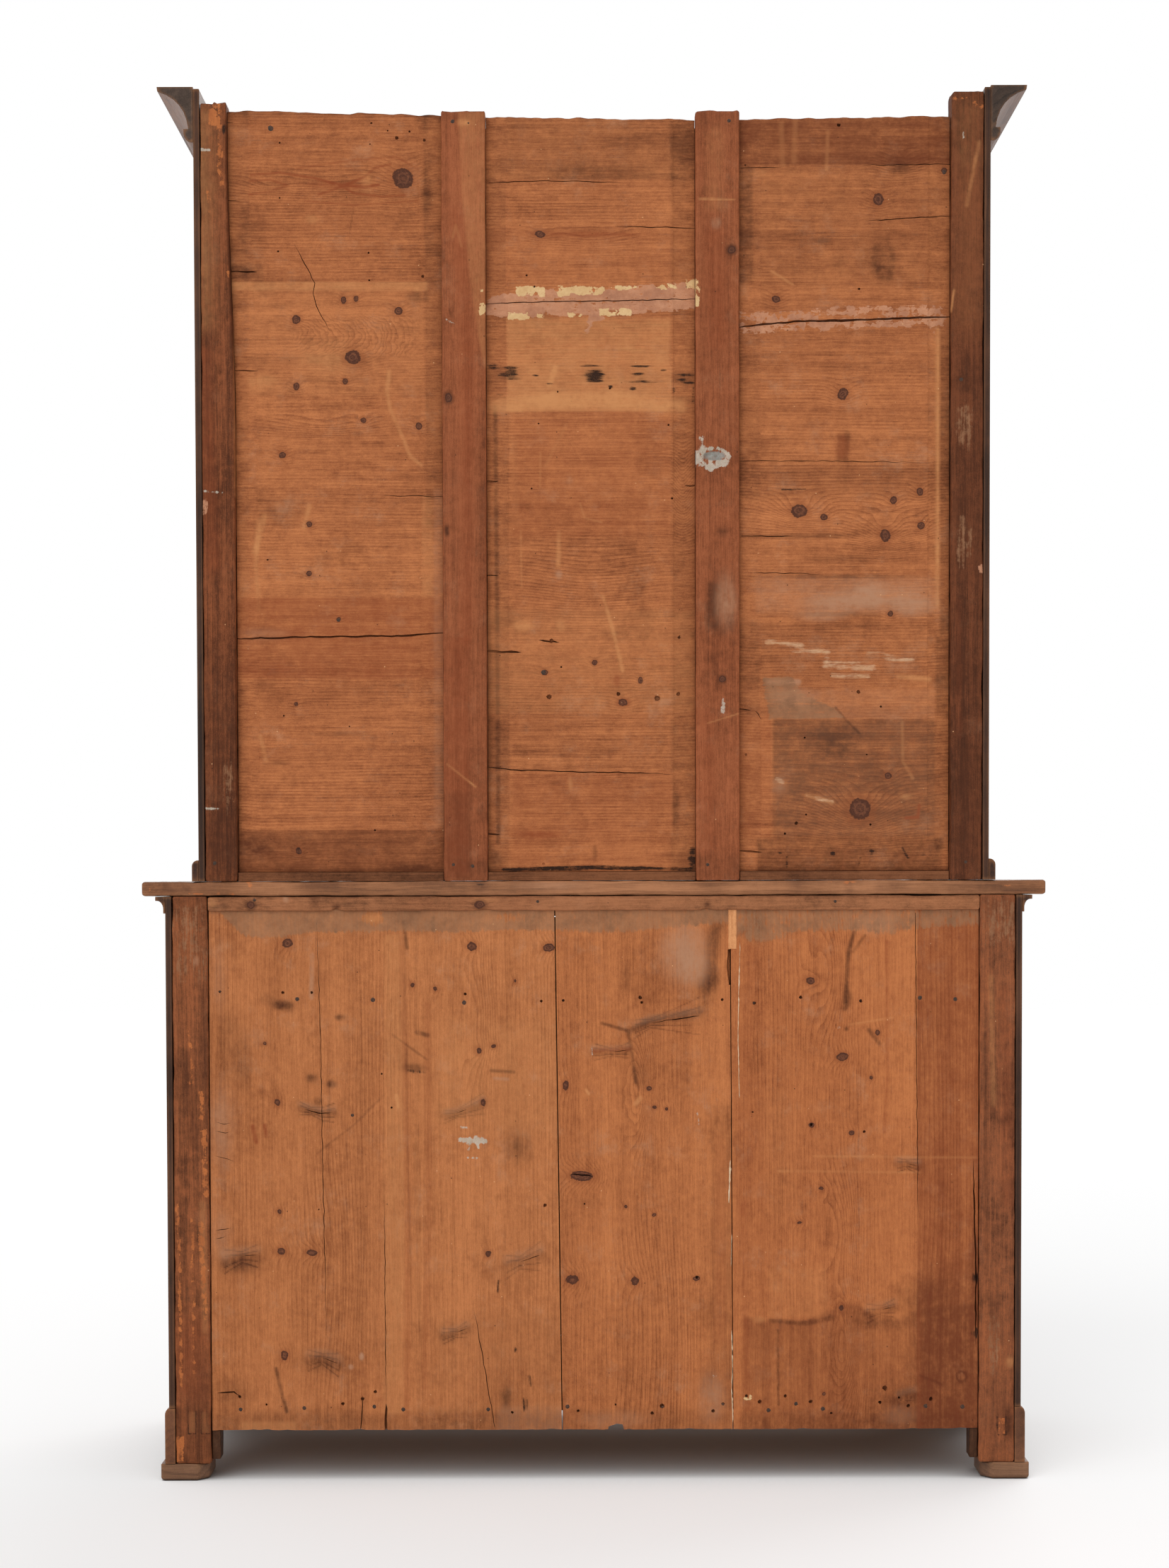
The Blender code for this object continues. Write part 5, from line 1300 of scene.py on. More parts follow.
backBars["upper_post_back_left"] = {
    "look": {**postLook, "pale": (118, 66, 40), "mid": (84, 46, 27)}, "raggedTop": 0.004,
    "pale box": [(1340, 130, 1395, 480, 20, 60)], "red box": [(1340, 230, 1392, 480, 24, 40)],
    "dirt blob": [(1364, 600, 16, 44, 50), (1362, 765, 14, 48, 50)],
    "dark box": [(1340, 490, 1400, 680, 30, 40), (1340, 690, 1400, 830, 34, 30),
        (1340, 840, 1400, 1060, 20, 60), (1340, 1060, 1400, 1240, 46, 70)],
    "chalk blob": [(1388, 803, 9, 8, 75)], "red stroke": [(1354, 850, 1, 190, 6, 20)],
    "dark stroke": [(1347, 880, 3, 60, 4, 45, 4, -45, 3, -60, 1.2, 50),
        (1344, 880, 4, 110, 6, 70, 6, -70, 5, -110, 1.2, 50), (1350, 860, 4, 100, 3, -100, 1, 45)],
    "worn stroke": [(1348, 138, 22, 2, 16, 10, 5, 50), (1397, 1150, 1, 65, 3, 50)],
    "char stroke": [(1342, 480, 1, 220, 2, 50)],
    "pale stroke": [(1348, 410, -4, 30, 1.8, 50), (1384, 200, -18, 90, 3, 30)],
    "dark blob": [(1356, 535, 4, 4, 70)], "white stroke": [(1362, 186, 0, 10, 1.8, 50)],
}
backBars["upper_muntin_right"] = {
    "look": muntinLook, "radius": 0.0028, "wear": 0.0011, "raggedTop": 0.003,
    "dark box": [(615, 150, 695, 172, 25, 10), (615, 600, 700, 1240, 34, 160),
        (628, 1120, 664, 1240, 30, 12), (615, 1215, 700, 1245, 30, 10)],
    "pale poly": [(647, 158, 43, 0, 0, 362, -6, 0, -8, -40, -12, -80, -12, -120, 7, 30)],
    "red stroke": [(645, 300, 10, 120, 5, 80, -2, 400, 12, 42)], "red box": [(627, 900, 664, 1240, 40, 8)],
    "dark blob": [(634, 562, 5, 8, 65), (632, 750, 4, 8, 65)],
    "cream blob": [(680, 410, 4, 3, 75), (682, 438, 6, 10, 85)], "white stroke": [(630, 452, 12, 5, 2, 60)],
    "pale stroke": [(640, 335, 4, -17, 8, 30, 2.5, 40), (632, 1080, 40, 32, 1.8, 50)],
    "pale blob": [(654, 173, 10, 5, 40)], "knots": [(634, 562, 5, 1.4)],
}
backBars["upper_muntin_left"] = {
    "look": muntinLook, "radius": 0.0028, "wear": 0.0011, "raggedTop": 0.003,
    "dark box": [(975, 150, 1050, 182, 30, 12), (975, 330, 1050, 620, 10, 30),
        (975, 1205, 1050, 1245, 30, 14)],
    "pale stroke": [(1012, 190, -2, 80, 16, 22), (988, 281, 50, 1, 1.8, 45), (1000, 1022, 46, -14, 1.6, 40)],
    "red stroke": [(1010, 330, 4, 150, 18, 35), (996, 1010, 4, 190, 14, 30)],
    "grey blob": [(1012, 315, 8, 10, 45), (1026, 850, 18, 42, 50)], "pale blob": [(1012, 292, 20, 9, 25)],
    "dark blob": [(1034, 352, 8, 8, 60), (1012, 644, 8, 3, 50), (1022, 752, 10, 9, 60),
        (1016, 845, 16, 46, 40), (1021, 960, 6, 6, 60)],
    "cream stroke": [(983, 398, 3, 34, 4, 72)], "cream blob": [(989, 410, 4, 5, 60)],
    "white blob": [(1006, 645, 27, 15, 46)],
    "white stroke": [(992, 618, 1, 24, 5, 62), (984, 640, 2, 20, 4, 60), (1004, 650, 2, 14, 4, 60),
        (1014, 652, 8, 4, 4, 60), (986, 650, 14, 10, 24, -4, 6, -10, 5, 62),
        (1000, 634, 16, 0, 12, 8, 3, 60), (1022, 985, 0, 23, 4, 52)],
    "-white blob": [(1009, 644, 14, 6, 80)], "steel blob": [(1009, 644, 17, 8, 86)],
    "dark stroke": [(1006, 830, -3, 50, 17, 10, 8, 45)], "knots": [(1021, 960, 5, 0.9), (1034, 353, 5, 1)],
}
backBars["base_post_back_right"] = {
    "look": {**postLook, "pale": (152, 88, 53), "mid": (113, 65, 39)}, "wear": 0.0024,
    "dirt box": [(236, 1265, 300, 1400, 40, 60)],
    # the first dark box is painted shade under the table top
    "dark box": [(236, 1265, 300, 1300, 30, 16), (236, 1900, 300, 1990, 25, 40),
        (236, 1990, 310, 2070, 36, 16)],
    "grey blob": [(277, 1358, 5, 8, 50)],
    "worn stroke": [(264, 1446, 6, 34, 4, 50), (284, 1545, 4, 65, 3, 80, 6, 66), (272, 1495, -2, 35, 5, 56),
        (250, 1700, 4, 90, 2, 170, 4, 56), (272, 1720, 2, 220, 4, 50), (284, 1730, 6, 130, 6, 62),
        (240, 1400, 1, 160, 2.4, 50)],
    "pale stroke": [(286, 1700, 4, 180, 6, 30)], "red box": [(236, 1850, 300, 1990, 30, 60)],
    "dark stroke": [(262, 1490, 6, 70, 7, 60, 8, 50), (286, 1400, 6, 200, 4, 40),
        (250, 1990, 4, 40, 8, 36, 4, 60)],
    "pale box": [(267, 1995, 276, 2025, 24, 3), (285, 1995, 295, 2025, 20, 3)],
    "char stroke": [(266, 1994, 0, 32, 11, 0, 0, -32, 1.5, 60), (284, 1994, 0, 32, 12, 0, 1.5, 60)],
    "worn box": [(236, 2028, 261, 2066, 62, 3)],
}
backBars["base_post_back_left"] = {
    "look": {**postLook, "pale": (158, 92, 56), "mid": (126, 74, 47)}, "wear": 0.0024,
    "dirt box": [(1380, 1265, 1450, 1340, 40, 40)],
    # the first dark box is painted shade under the table top
    "dark box": [(1380, 1265, 1450, 1300, 30, 16), (1380, 1830, 1450, 2000, 20, 50),
        (1380, 1990, 1450, 2070, 25, 20)],
    "pale stroke": [(1400, 1380, 4, 180, 5, 30)], "red stroke": [(1420, 1400, 4, 300, 12, 30)],
    "dark stroke": [(1392, 1460, 2, 340, 4, 40)], "dirt blob": [(1405, 1900, 18, 60, 42)],
    "pale blob": [(1428, 1925, 8, 10, 40)], "dark blob": [(1424, 2012, 6, 22, 60)],
    "worn box": [(1410, 2003, 1421, 2027, 62, 3), (1433, 2026, 1444, 2066, 60, 3)],
    "char stroke": [(1409, 2002, 0, 26, 13, 0, 0, -26, 1.5, 60)],
}
backBars["base_back_rail"] = {
    "look": railLook, "axis": 0, "radius": 0.003, "wear": 0.0018, "waney": 0.0035,
    "notches": [(475, 5, 0.005), (999, 6, 0.004), (690, 9, 0.002)],
    # this dark box is painted shade under the edge of the table top
    "dark box": [(290, 1262, 1390, 1268, 40, 4)],
    "dark blob": [(354, 1279, 8, 5, 60), (444, 1274, 10, 12, 40), (475, 1281, 7, 5, 70),
        (678, 1279, 8, 4, 60), (999, 1278, 6, 4, 70)],
    "grey blob": [(404, 1271, 5, 5, 60)], "red box": [(560, 1262, 760, 1290, 20, 40)],
    "pale blob": [(684, 1272, 22, 4, 40), (300, 1276, 8, 8, 40)],
    "knots": [(354, 1279, 5, 1.2), (678, 1279, 5, 1.4)],
}


def buildBar(node, look, seed):
    setting = {**barShape, **look}
    low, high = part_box(node)
    narrow, waney, ragged = [setting[key] for key in ("narrowTop", "waney", "raggedTop")]
    pixel = pineLook["pixel"]
    notches = []
    for column, half, deep in setting["notches"]:
        notches.append((spot(column, setting["notchRow"])[0], half * pixel, deep))

    def ends(t, lowSide, highSide):
        if waney:  # the uneven lower edge of a rail
            x = low.x + t * (high.x - low.x)
            slow, fine, sag = [noise.noise(Vector((x * s, k, seed))) for s, k in ((9, 3), (30, 7), (4, 1))]
            rise = waney * (0.5 + 0.5 * slow) * abs(fine)
            for middle, half, deep in notches:
                rise += deep * math.exp(-((x - middle) / half) ** 2)
            return lowSide + (0.0, rise), highSide - (0.0, 0.0022 * float(eased(2.2 * sag)))
        slim = float(thinning(low.z + t * (high.z - low.z))) * narrow
        return lowSide + (slim, 0.0), highSide

    moved = ends if narrow or waney else None
    axis, radius, step, wear = [setting[key] for key in ("axis", "radius", "step", "wear")]
    vertices, faces = roundBar(axis, low, high, radius, step, wear, seed, moved)
    if ragged:  # broken end grain at the top
        reach = setting["raggedReach"]
        near = np.clip((vertices[:, 2] - (high.z - reach)) / reach, 0, 1)
        fibres = vertices * (1, 1, 0.1)
        chips = np.abs(ruffle(fibres, 45.0, seed + 9)) + np.abs(ruffle(fibres, 130.0, seed))
        vertices[:, 2] -= near * chips * ragged
    marks = listMarks(setting)
    finish = woodFinish(node + "_wood", {
        **setting["look"],
        "seed": seed,
        "knots": setting["knots"],
        "painted": kindsOf(marks),
    })
    piece = addPiece(node + "_bar", vertices, faces, finish, node.split("_")[0], [node])
    refine(piece, marks)
    paintMesh(piece, marks)
    smooth(piece, 40)
    return piece


# Finishes of the case and of its doors and drawers
insideLook = {
    **pineLook, "pale": (192, 138, 90), "mid": (166, 113, 70), "dark": (116, 72, 42),
    "grimeColour": (70, 46, 30), "rings": 150.0, "seed": 21.0,
}
edgeTones = {
    "side": ((72, 42, 27), (48, 28, 17), (24, 14, 9)),
    "cornice": ((82, 65, 54), (61, 47, 38), (34, 26, 21)),
    "top": ((172, 116, 78), (138, 90, 58), (72, 46, 31)),
    "plinth": ((118, 74, 48), (94, 58, 37), (50, 31, 22)),
}
topLook = {**walnutLook, "along": "X", "seed": 31.0, "agedBack": edgeTones["top"], "rings": 70.0}
caseFinishes = {  # grain, seed, worn edge, solids, and what differs from the plain wood
    "sideWalnut": ("Z", 33, 0.0012,
        ["base_side_left", "base_side_right", "upper_side_left", "upper_side_right"],
        {"agedBack": edgeTones["side"], "cathedralAxis": 1,
        "cathedrals": [(0.02, 0.5, 0.5, 0.12, 9), (0.1, 1.6, 0.7, 0.1, 9)]}),
    "baseFrameWalnut": ("Z", 35, 0.0014, ["base_front_frame"],
        {"turns": [(-0.6382, -0.037), (0.037, 0.6382)]}),
    "upperFrameWalnut": ("Z", 36, 0.0014, ["upper_front_frame"], {"turns": [(-0.5877, 0.5877)]}),
    "mouldingWalnut": ("Y", 37, 0.0008, ["base_top_moulding"],
        {"turns": [(-0.66, 0.66)], "agedBack": edgeTones["side"]}),
    "upperMouldingWalnut": ("Y", 38, 0.0008, ["upper_base_moulding"],
        {"turns": [(-0.63, 0.63)], "agedBack": edgeTones["side"]}),
    "corniceWalnut": ("Y", 39, 0.0008, ["cornice"],
        {"turns": [(-0.65, 0.65)], "agedBack": edgeTones["cornice"]}),
    "plinthWalnut": ("Y", 40, 0.0015, ["base_plinth"],
        {"turns": [(-0.69, 0.69)], "agedBack": edgeTones["plinth"]}),
    "padWalnut": ("X", 41, 0.004,
        ["foot_pad_back_left", "foot_pad_back_right", "foot_pad_front_left", "foot_pad_front_right"],
        {"pale": (140, 100, 74), "mid": (110, 78, 57), "dark": (62, 43, 32), "wax": 0.0,
        "agedBack": ((144, 104, 76), (115, 81, 58), (66, 46, 34))}),
    "baseDoorLeftWalnut": ("Z", 42, 0.0014, ["base_door_left_frame"], {"turns": [(-0.5707, -0.1045)]}),
    "baseDoorRightWalnut": ("Z", 43, 0.0014, ["base_door_right_frame"], {"turns": [(0.1045, 0.5707)]}),
    "upperDoorLeftWalnut": ("Z", 44, 0.0014, ["upper_door_left_frame"], {"turns": [(-0.5202, -0.0688)]}),
    "upperDoorRightWalnut": ("Z", 45, 0.0014, ["upper_door_right_frame"], {"turns": [(0.0688, 0.5202)]}),
    "basePanelLeftWalnut": ("Z", 46, 0.0, ["base_door_left_panel"],
        {"cathedrals": [(-0.36, 0.36, 0.3, 0.1, 9), (-0.3, 0.62, 0.2, 0.06, 5)]}),
    "basePanelRightWalnut": ("Z", 47, 0.0, ["base_door_right_panel"],
        {"cathedrals": [(0.36, 0.34, 0.3, 0.1, 9), (0.29, 0.6, 0.2, 0.06, 5)]}),
    "upperPanelLeftWalnut": ("Z", 48, 0.0, ["upper_door_left_panel"],
        {"cathedrals": [(-0.3, 1.38, 0.46, 0.1, 10), (-0.26, 1.9, 0.3, 0.07, 6)]}),
    "upperPanelRightWalnut": ("Z", 49, 0.0, ["upper_door_right_panel"],
        {"cathedrals": [(0.3, 1.36, 0.46, 0.1, 10), (0.26, 1.88, 0.3, 0.07, 6)]}),
    "drawerFrontWalnut": ("X", 50, 0.0012, ["drawer_left_front", "drawer_right_front"],
        {"cathedrals": [(-0.3, 0.872, 0.2, 0.05, 6), (0.36, 0.868, 0.22, 0.05, 6)]}),
    "knobWalnut": ("Y", 51, 0.0, ["drawer_left_knob", "drawer_right_knob"],
        {"pale": (104, 64, 40), "mid": (76, 45, 28), "wax": 0.3, "rough": 0.34}),
    "shelfPine": ("X", 21, 0.001,
        ["base_bottom", "base_shelf", "base_drawer_floor", "upper_shelf_1", "upper_shelf_2", "upper_top"],
        {}),
    "bottomPine": ("X", 23, 0.001, ["upper_bottom"],
        {"agedBack": ((130, 82, 54), (104, 64, 42), (54, 33, 22)), "agedReach": (0.02, 0.008)}),
    "drawerPine": ("Y", 24, 0.001, ["drawer_left_box", "drawer_right_box", "base_drawer_guide"], {}),
}


def softenEdges(node, width):
    weld = node.modifiers.new("weld", "WELD")
    weld.merge_threshold = 0.00001
    bevel = node.modifiers.new("bevel", "BEVEL")
    bevel.width = width
    bevel.segments = 2
    bevel.limit_method = "ANGLE"
    bevel.angle_limit = math.radians(40)
    bevel.use_clamp_overlap = True


metalLooks = {  # tone, tarnish, metallic, roughness, scale
    "ironBrown": ((66, 54, 46), (108, 66, 42), 0.75, 0.5, 90.0),
    "brassOld": ((176, 134, 66), (98, 70, 36), 0.95, 0.36, 60.0),
    "nailIron": ((58, 46, 38), (92, 58, 40), 0.5, 0.62, 260.0),
}


def metalFinish(name):
    tone, dull, metal, rough, scale = metalLooks[name]
    material, start = newFinish(name)
    place = start.make("TexCoord", out="Object")
    tarnish = place.evenNoise(scale, 5.0, 0.65)
    pits = place.evenNoise(scale * 9)
    crevice = start.make("AmbientOcclusion", {"samples": 6}, {"Distance": 0.006}, "AO")
    worn = (tarnish + (1.0 - crevice) * 0.5).between(0.42, 0.72)
    closeFinish(start, {
        "Base Color": worn.pick(tone, dull),
        "Metallic": (1.0 - worn * 0.5) * metal,
        "Roughness": tarnish * 0.25 + rough - 0.1 + pits * 0.1,
        "Normal": start.make("Bump", None, {"Strength": 0.25, "Distance": 0.0004, "Height": pits + tarnish}),
    })
    return material


def dressCase():
    iron = metalFinish("ironBrown")
    brass = metalFinish("brassOld")
    for name, (along, seed, edge, solids, changes) in caseFinishes.items():
        wood = insideLook if name.endswith("Pine") else walnutLook
        finish = woodFinish(name, {**wood, "along": along, "seed": seed, **changes})
        for node in solids:
            dress(nodes[node], finish, edge)
    for name, node in nodes.items():
        if "hinge" in name:
            dress(node, iron, 0.0)
        if name.endswith("key"):
            dress(node, brass, 0.0)
    print("case, doors and drawers finished")
    return iron, brass


def dress(node, finish, edge):
    node.data.materials.clear()
    node.data.materials.append(finish)
    if edge:
        softenEdges(node, edge)


# The table top, with its dry chipped back edge
tableTop = {
    "radius": 0.0045, "wear": 0.0018,
    "dark box": [(190, 1236, 345, 1270, 40, 60), (1330, 1236, 1490, 1270, 42, 60),
        (200, 1243, 270, 1262, 30, 12)],
    "worn box": [(343, 1243, 353, 1262, 80, 3)],
    "worn blob": [(211, 1258, 10, 4, 62), (1424, 1250, 9, 4, 55)],
    "worn stroke": [(240, 1262, 90, 2, 2, 50), (1140, 1246, 70, 1, 2.4, 46)],
    "dark blob": [(450, 1250, 40, 12, 45), (680, 1252, 14, 12, 40), (1126, 1252, 14, 14, 45),
        (1200, 1252, 8, 14, 40), (1010, 1252, 30, 7, 35), (1260, 1254, 30, 8, 40)],
    "dark stroke": [(560, 1246, 80, 4, 5, 35)], "char blob": [(679, 1251, 7, 4, 60)],
    "grey blob": [(780, 1252, 60, 6, 40)],
}


def buildTableTop():
    low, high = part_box("base_top")
    radius, wear = tableTop["radius"], tableTop["wear"]
    vertices, faces = roundBar(0, low, high, radius, step=0.011, wear=wear, seed=71.0, side=0.028)
    marks = listMarks(tableTop)
    finish = woodFinish("tableWalnut", {**topLook, "painted": kindsOf(marks)})
    piece = addPiece("base_top_board", vertices, faces, finish, "base", ["base_top"])
    refine(piece, marks)
    paintMesh(piece, marks, 0.012)
    smooth(piece, 40)


# Nail heads of the back, and what fills its open seam
nailRows = {
    "upper_nails": [(640, 173, 3), (661, 175, 3), (992, 177, 3.2), (1030, 172, 3.2), (382, 180, 4),
        (478, 876, 2.6), (768, 950, 3.4), (1335, 241, 3.2), (641, 1222, 2.6), (668, 1224, 2.6),
        (1000, 1222, 2.6), (1030, 1220, 2.6), (304, 1220, 2.8), (1364, 1218, 2.8), (1358, 537, 3)],
    "base_nails": [(310, 1400, 2.6), (420, 1412, 3), (527, 1413, 3.2), (656, 1417, 3.2), (797, 1414, 3),
        (1064, 1417, 3.2), (1217, 1415, 3.4), (1300, 1410, 3), (1350, 1412, 3), (498, 1576, 2.4),
        (570, 1992, 3), (529, 1988, 2.8), (802, 1988, 3), (870, 1986, 2.4), (937, 1990, 3.2),
        (1021, 1986, 3), (1086, 1993, 3), (1125, 1984, 2.8), (1163, 1991, 3), (1308, 1987, 3),
        (1360, 1988, 3.2), (340, 1992, 2.8), (430, 1990, 2.8), (690, 1992, 2.8), (360, 1272, 2.2),
        (760, 1274, 2.2), (1180, 1274, 2.2)],
}


def surfaceTrees(pieces):
    trees = []
    for piece in pieces:
        points = [vertex.co for vertex in piece.data.vertices]
        polygons = [tuple(polygon.vertices) for polygon in piece.data.polygons]
        trees.append(BVHTree.FromPolygons(points, polygons))
    return trees


def faceAt(trees, x, z):  # the outermost surface of the back at a place
    found = backY - 0.02
    for tree in trees:
        hit = tree.ray_cast(Vector((x, backY + 0.1, z)), Vector((0, -1, 0)))[0]
        if hit is not None:
            found = max(found, hit.y)
    return found


def buildNails(name, trees, finish, sides=9):
    vertices = []
    faces = []
    for number, (column, row, size) in enumerate(nailRows[name]):
        x, z = spot(column, row, 0.005)
        y = min(faceAt(trees, x, z), backY - 0.0006)
        radius = size * pineLook["pixel"]
        first = len(vertices)
        for reach, share in ((-0.003, 0.95), (0.0001, 1.0), (0.0004, 0.75)):
            for k, (a, b) in enumerate(circle(sides)):
                swell = share * radius * (1 + 0.25 * noise.noise(Vector((number * 3.1, k * 0.9, 5))))
                tip = 0.0002 * noise.noise(Vector((number, k, 2)))
                vertices.append((x + swell * a, y + reach + tip, z + swell * b))
        vertices.append((x, y + 0.0005, z))
        faces += [(q, p, s, r) for p, q, r, s in tubeFaces(sides, 3, first)]  # turned to the back
        last = first + 2 * sides
        faces += [(last + (k + 1) % sides, last + k, first + 3 * sides) for k in range(sides)]
        faces.append(tuple(range(first, first + sides)))
    addPiece(name, vertices, faces, finish, name.split("_")[0], angle=50)


seamFill = {
    "slip": {"left": 1029, "right": 1041, "top": 1282, "bottom": 1341},
    "rawWood": {"along": "Z", "seed": 61, "pale": (228, 164, 112), "mid": (212, 146, 96),
        "dark": (160, 98, 58)},
    "beads": [(1046, 1332, -2, 68, -1, 70, 2, 82, 2), (1032, 1640, -1, 28, -1, 32, 3.4),
        (1034, 1880, 1, 50, -1, 35, 2, 49, 2.2), (1034, 1742, -1, 48, 1.4)],
}


def buildSeamFill(trees):
    slip = seamFill["slip"]
    face = backBoardShape["faceDepth"]
    right, foot = spot(slip["left"], slip["bottom"], face)
    left, top = spot(slip["right"], slip["top"], face)
    finish = woodFinish("rawSlipPine", {**insideLook, **seamFill["rawWood"]})
    low = (left, backY - face - 0.004, foot)
    high = (right, backY - face + 0.0009, top)
    vertices, faces = roundBar(2, low, high, 0.0009, step=0.006, wear=0.0005, seed=62.0, side=0.004)
    addPiece("base_back_slip", vertices, faces, finish, "base", angle=40)
    section = ((-1, -0.0012), (-0.6, 0.0003), (0, 0.0006), (0.6, 0.0003), (1, -0.0012))
    sides = len(section)
    vertices = []
    faces = []
    for number, (*numbers, width) in enumerate(seamFill["beads"]):
        first = len(vertices)
        points = stepped(lineOf(numbers), 4, 2)
        for k, (column, row) in enumerate(points):
            rag = noise.noise(Vector((column * 0.3, row * 0.21, number)))
            fine = noise.noise(Vector((column * 0.9, row * 0.55, number + 7)))
            half = max(0.12, width * 0.5 * (0.75 + 0.9 * rag + 0.5 * fine)) * pineLook["pixel"]
            if k in (0, len(points) - 1):
                half *= 0.3
            x, z = spot(column + 0.6 * fine, row, face)
            y = max(faceAt(trees, x + half, z), faceAt(trees, x - half, z))
            for side, reach in section:
                vertices.append((x + side * half, y + reach + 0.0002 * fine, z))
        faces += tubeFaces(sides, len(points), first)
        last = first + (len(points) - 1) * sides
        faces += [tuple(range(first, first + sides))[::-1], tuple(range(last, last + sides))]
    addPiece("base_back_filler", vertices, faces, fillerFinish(), "base", angle=60)


def fillerFinish():
    material, start = newFinish("oldFiller")
    place = start.make("TexCoord", out="Object")
    crumbs = place.evenNoise(300.0, 4.0, 0.7)
    cloud = place.evenNoise(40.0, 3.0)
    tones = ((170, 128, 92), (214, 184, 150), (226, 208, 182))
    colour = start.ramp(crumbs * 0.5 + cloud * 0.5, (0.25, 0.5, 0.8), tones)
    bump = start.make("Bump", None, {"Strength": 0.5, "Distance": 0.0006, "Height": crumbs})
    closeFinish(start, {"Base Color": colour, "Roughness": 0.85, "Normal": bump, "Specular IOR Level": 0.1})
    return material


# Keyhole plates and pegs of the doors
doorFronts = {"base": -0.2307, "upper": -0.0908}
keyholes = {"upper": (0.0332, 1.6052), "base": (0.0690, 0.4652)}
plateShape = {"halfWidth": 0.0105, "halfHeight": 0.0185, "thick": 0.0013, "pin": 0.0013, "hole": 0.0042}


def ovalLoop(halfWidth, halfHeight, sides=32):
    return [(halfWidth * a, halfHeight * b) for a, b in circle(sides)]


def keyholeLoop():  # a round hole with a slot below it
    loop = []
    for a, b in ovalLoop(plateShape["hole"], plateShape["hole"]):
        if b < -0.0026:
            a, b = math.copysign(min(abs(a), 0.0021), a), b * 2.6
        loop.append((a, b))
    return loop


def buildKeyhole(name, iron, brass):
    x, z = keyholes[name]
    front = doorFronts[name]
    thick, wide, tall = [plateShape[key] for key in ("thick", "halfWidth", "halfHeight")]
    loops = [
        (keyholeLoop(), 0.0),
        (keyholeLoop(), -thick),
        (ovalLoop(wide * 0.82, tall * 0.88), -thick * 1.15),
        (ovalLoop(wide, tall), -thick * 0.55),
        (ovalLoop(wide, tall), 0.0),
    ]
    vertices = []
    for loop, reach in loops:
        vertices += [(x + a, front + reach, z + b) for a, b in loop]
    count = len(loops[0][0])
    faces = tubeFaces(count, len(loops))
    for height in (0.0148, -0.0152):  # the two pins that hold the plate
        first = len(vertices)
        for reach, share in ((0.6, 1.0), (1.5, 0.9), (1.9, 0.5)):
            for a, b in circle(8):
                size = plateShape["pin"] * share
                vertices.append((x + size * a, front - thick * reach, z + height + size * b))
        faces += tubeFaces(8, 3, first)
        faces.append(tuple(range(first + 16, first + 24)))
    door = name + "_door_right"
    addPiece(name + "_keyhole_plate", vertices, faces, brass, door, angle=30)

    vertices = []
    for reach in (-0.0001, 0.0004):  # the dark of the hole
        vertices += [(x + a * 1.06, front + reach, z + b * 1.06) for a, b in keyholeLoop()]
    faces = [tuple(range(count)), tuple(range(2 * count - 1, count - 1, -1))]
    faces += [(p, s, r, q) for p, q, r, s in tubeFaces(count)]
    addPiece(name + "_keyhole", vertices, faces, iron, door)


pegPlaces = {  # outer and inner column, lower and upper row
    "base": ((0.6045, 0.0708), (0.192, 0.7385)),
    "upper": ((0.554, 0.035), (1.101, 2.1093)),
}
pegShape = {"radius": 0.0034, "apart": 0.017, "proud": 0.0004, "sides": 9}


def buildPegs(level, side, finish):
    columns, rows = pegPlaces[level]
    mirror = -1 if side == "left" else 1
    sides = pegShape["sides"]
    vertices = []
    faces = []
    for x in [column * mirror for column in columns]:
        for z in rows:
            for sign in (-1, 1):
                first = len(vertices)
                ring = circle(sides, noise.noise(Vector((x * 7, z * 5, sign))))
                middle = z + sign * pegShape["apart"]
                for reach, share in ((0.002, 1.0), (-0.0001, 1.0), (-pegShape["proud"], 0.8)):
                    for k, (a, b) in enumerate(ring):
                        bulge = 1 + 0.1 * noise.noise(Vector((x * 90, z * 90, k)))
                        swell = pegShape["radius"] * share * bulge
                        vertices.append((x + swell * a, doorFronts[level] + reach, middle + swell * b))
                faces += tubeFaces(sides, 3, first)
                last = first + 2 * sides
                faces += [tuple(range(last, last + sides)), tuple(range(first, first + sides))[::-1]]
    door = level + "_door_" + side
    addPiece(door + "_frame_pegs", vertices, faces, finish, door, angle=40)


# Dovetails where the drawer sides meet the fronts
dovetails = {"long": 0.013, "wide": 0.017, "slant": 0.0028, "proud": 0.00025, "count": 4}


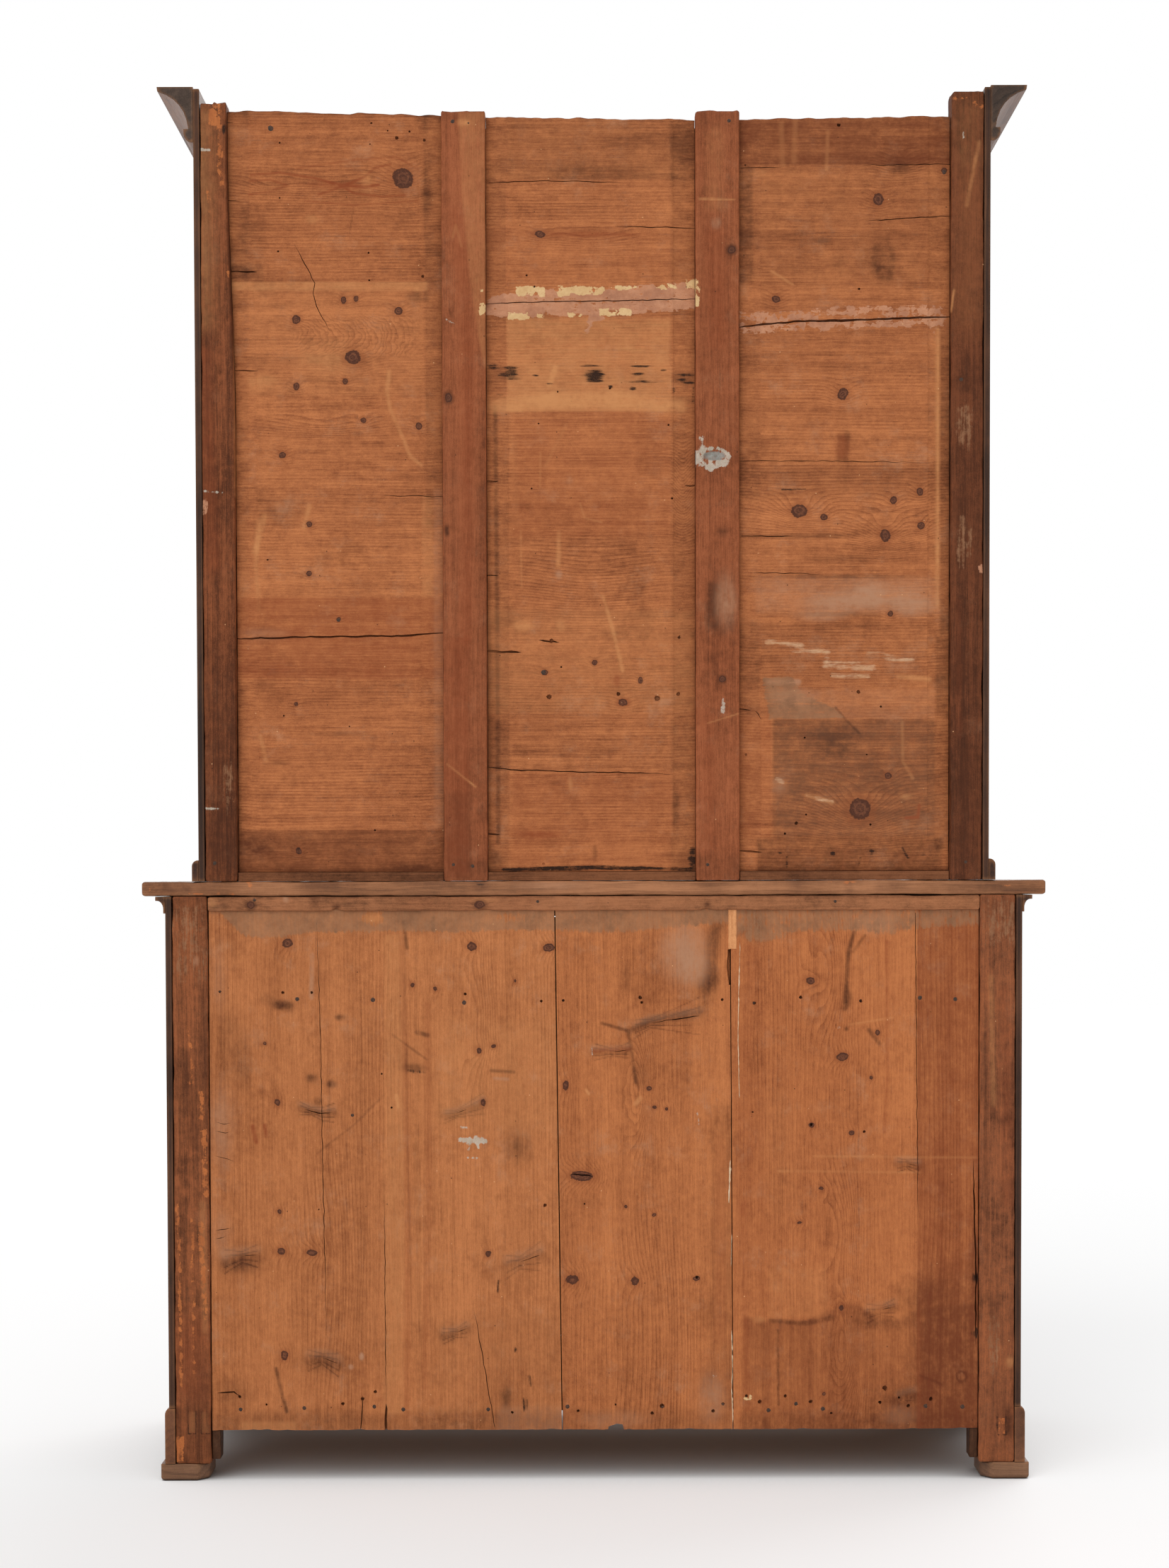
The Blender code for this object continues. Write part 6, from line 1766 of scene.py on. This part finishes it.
def buildDovetails(node, body, finish):
    low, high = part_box(node)
    vertices = []
    faces = []
    pitch = (high.z - low.z) / dovetails["count"]
    near = dovetails["wide"] / 2 + dovetails["slant"]
    far = dovetails["wide"] / 2 - dovetails["slant"]
    start, end = low.y + 0.0004, low.y + dovetails["long"]
    for x, out in ((low.x, -1), (high.x, 1)):
        for number in range(dovetails["count"]):
            middle = low.z + (number + 0.5) * pitch
            outline = [(start, -near), (start, near), (end, far), (end, -far)]
            first = len(vertices)
            for reach in (-0.0005, dovetails["proud"]):
                vertices += [(x + out * reach, y, middle + half) for y, half in outline]
            top, foot = tuple(range(first + 4, first + 8)), tuple(range(first, first + 4))
            tail = [top, foot[::-1], *tubeFaces(4, 2, first)]
            faces += tail if out < 0 else [face[::-1] for face in tail]
    addPiece(node + "_dovetails", vertices, faces, finish, body)


# Rough blocks glued inside the back feet
footBlocks = {"wide": 0.0145, "deep": 0.034, "foot": 0.0345, "top": 0.107, "inset": 0.007}


def buildFootBlocks():
    look = {**postLook, "seed": 64.0, "pale": (84, 54, 36), "mid": (58, 36, 24), "dark": (30, 18, 13)}
    finish = woodFinish("glueBlockWood", look)
    for side, sign in (("right", 1), ("left", -1)):
        low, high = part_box("base_post_back_" + side)
        inner = low.x if sign > 0 else high.x
        ends = sorted((inner, inner - sign * footBlocks["wide"]))
        front = backY - footBlocks["inset"]
        corner = (ends[0], front - footBlocks["deep"], footBlocks["foot"])
        opposite = (ends[1], front, footBlocks["top"])
        vertices, faces = roundBar(
            2, corner, opposite, 0.002, step=0.008, wear=0.0012, seed=65.0 + sign, side=0.006)
        name = "base_foot_block_" + side
        addPiece(name, vertices, faces, finish, "base", angle=40)


placeCamera()
buildStage()
iron, brass = dressCase()
backPieces = []
builders = ((buildPanel, panels, 2.0), (buildBackBoard, backBoards, 6.0), (buildBar, backBars, 10.0))
for build, settings, firstSeed in builders:
    for number, (name, look) in enumerate(settings.items()):
        backPieces.append(build(name, look, firstSeed + number))
print("back boards, posts and muntins made")
buildTableTop()
trees = surfaceTrees(backPieces)
nailFinish = metalFinish("nailIron")
for name in nailRows:
    buildNails(name, trees, nailFinish)
buildSeamFill(trees)
buildFootBlocks()
print("nails and filler set")
for name in keyholes:
    buildKeyhole(name, iron, brass)
pegLook = {**walnutLook, "along": "Y", "seed": 55.0, "pale": (110, 68, 42), "mid": (72, 42, 26)}
pegFinish = woodFinish("pegWalnut", pegLook)
for level in pegPlaces:
    for side in ("left", "right"):
        buildPegs(level, side, pegFinish)
tailFinish = woodFinish("dovetailPine", {**insideLook, "along": "Y", "seed": 57.0, "mid": (168, 116, 70)})
for side in ("left", "right"):
    buildDovetails("drawer_" + side + "_box", "drawer_" + side, tailFinish)
print("keyhole plates, pegs and dovetails set")
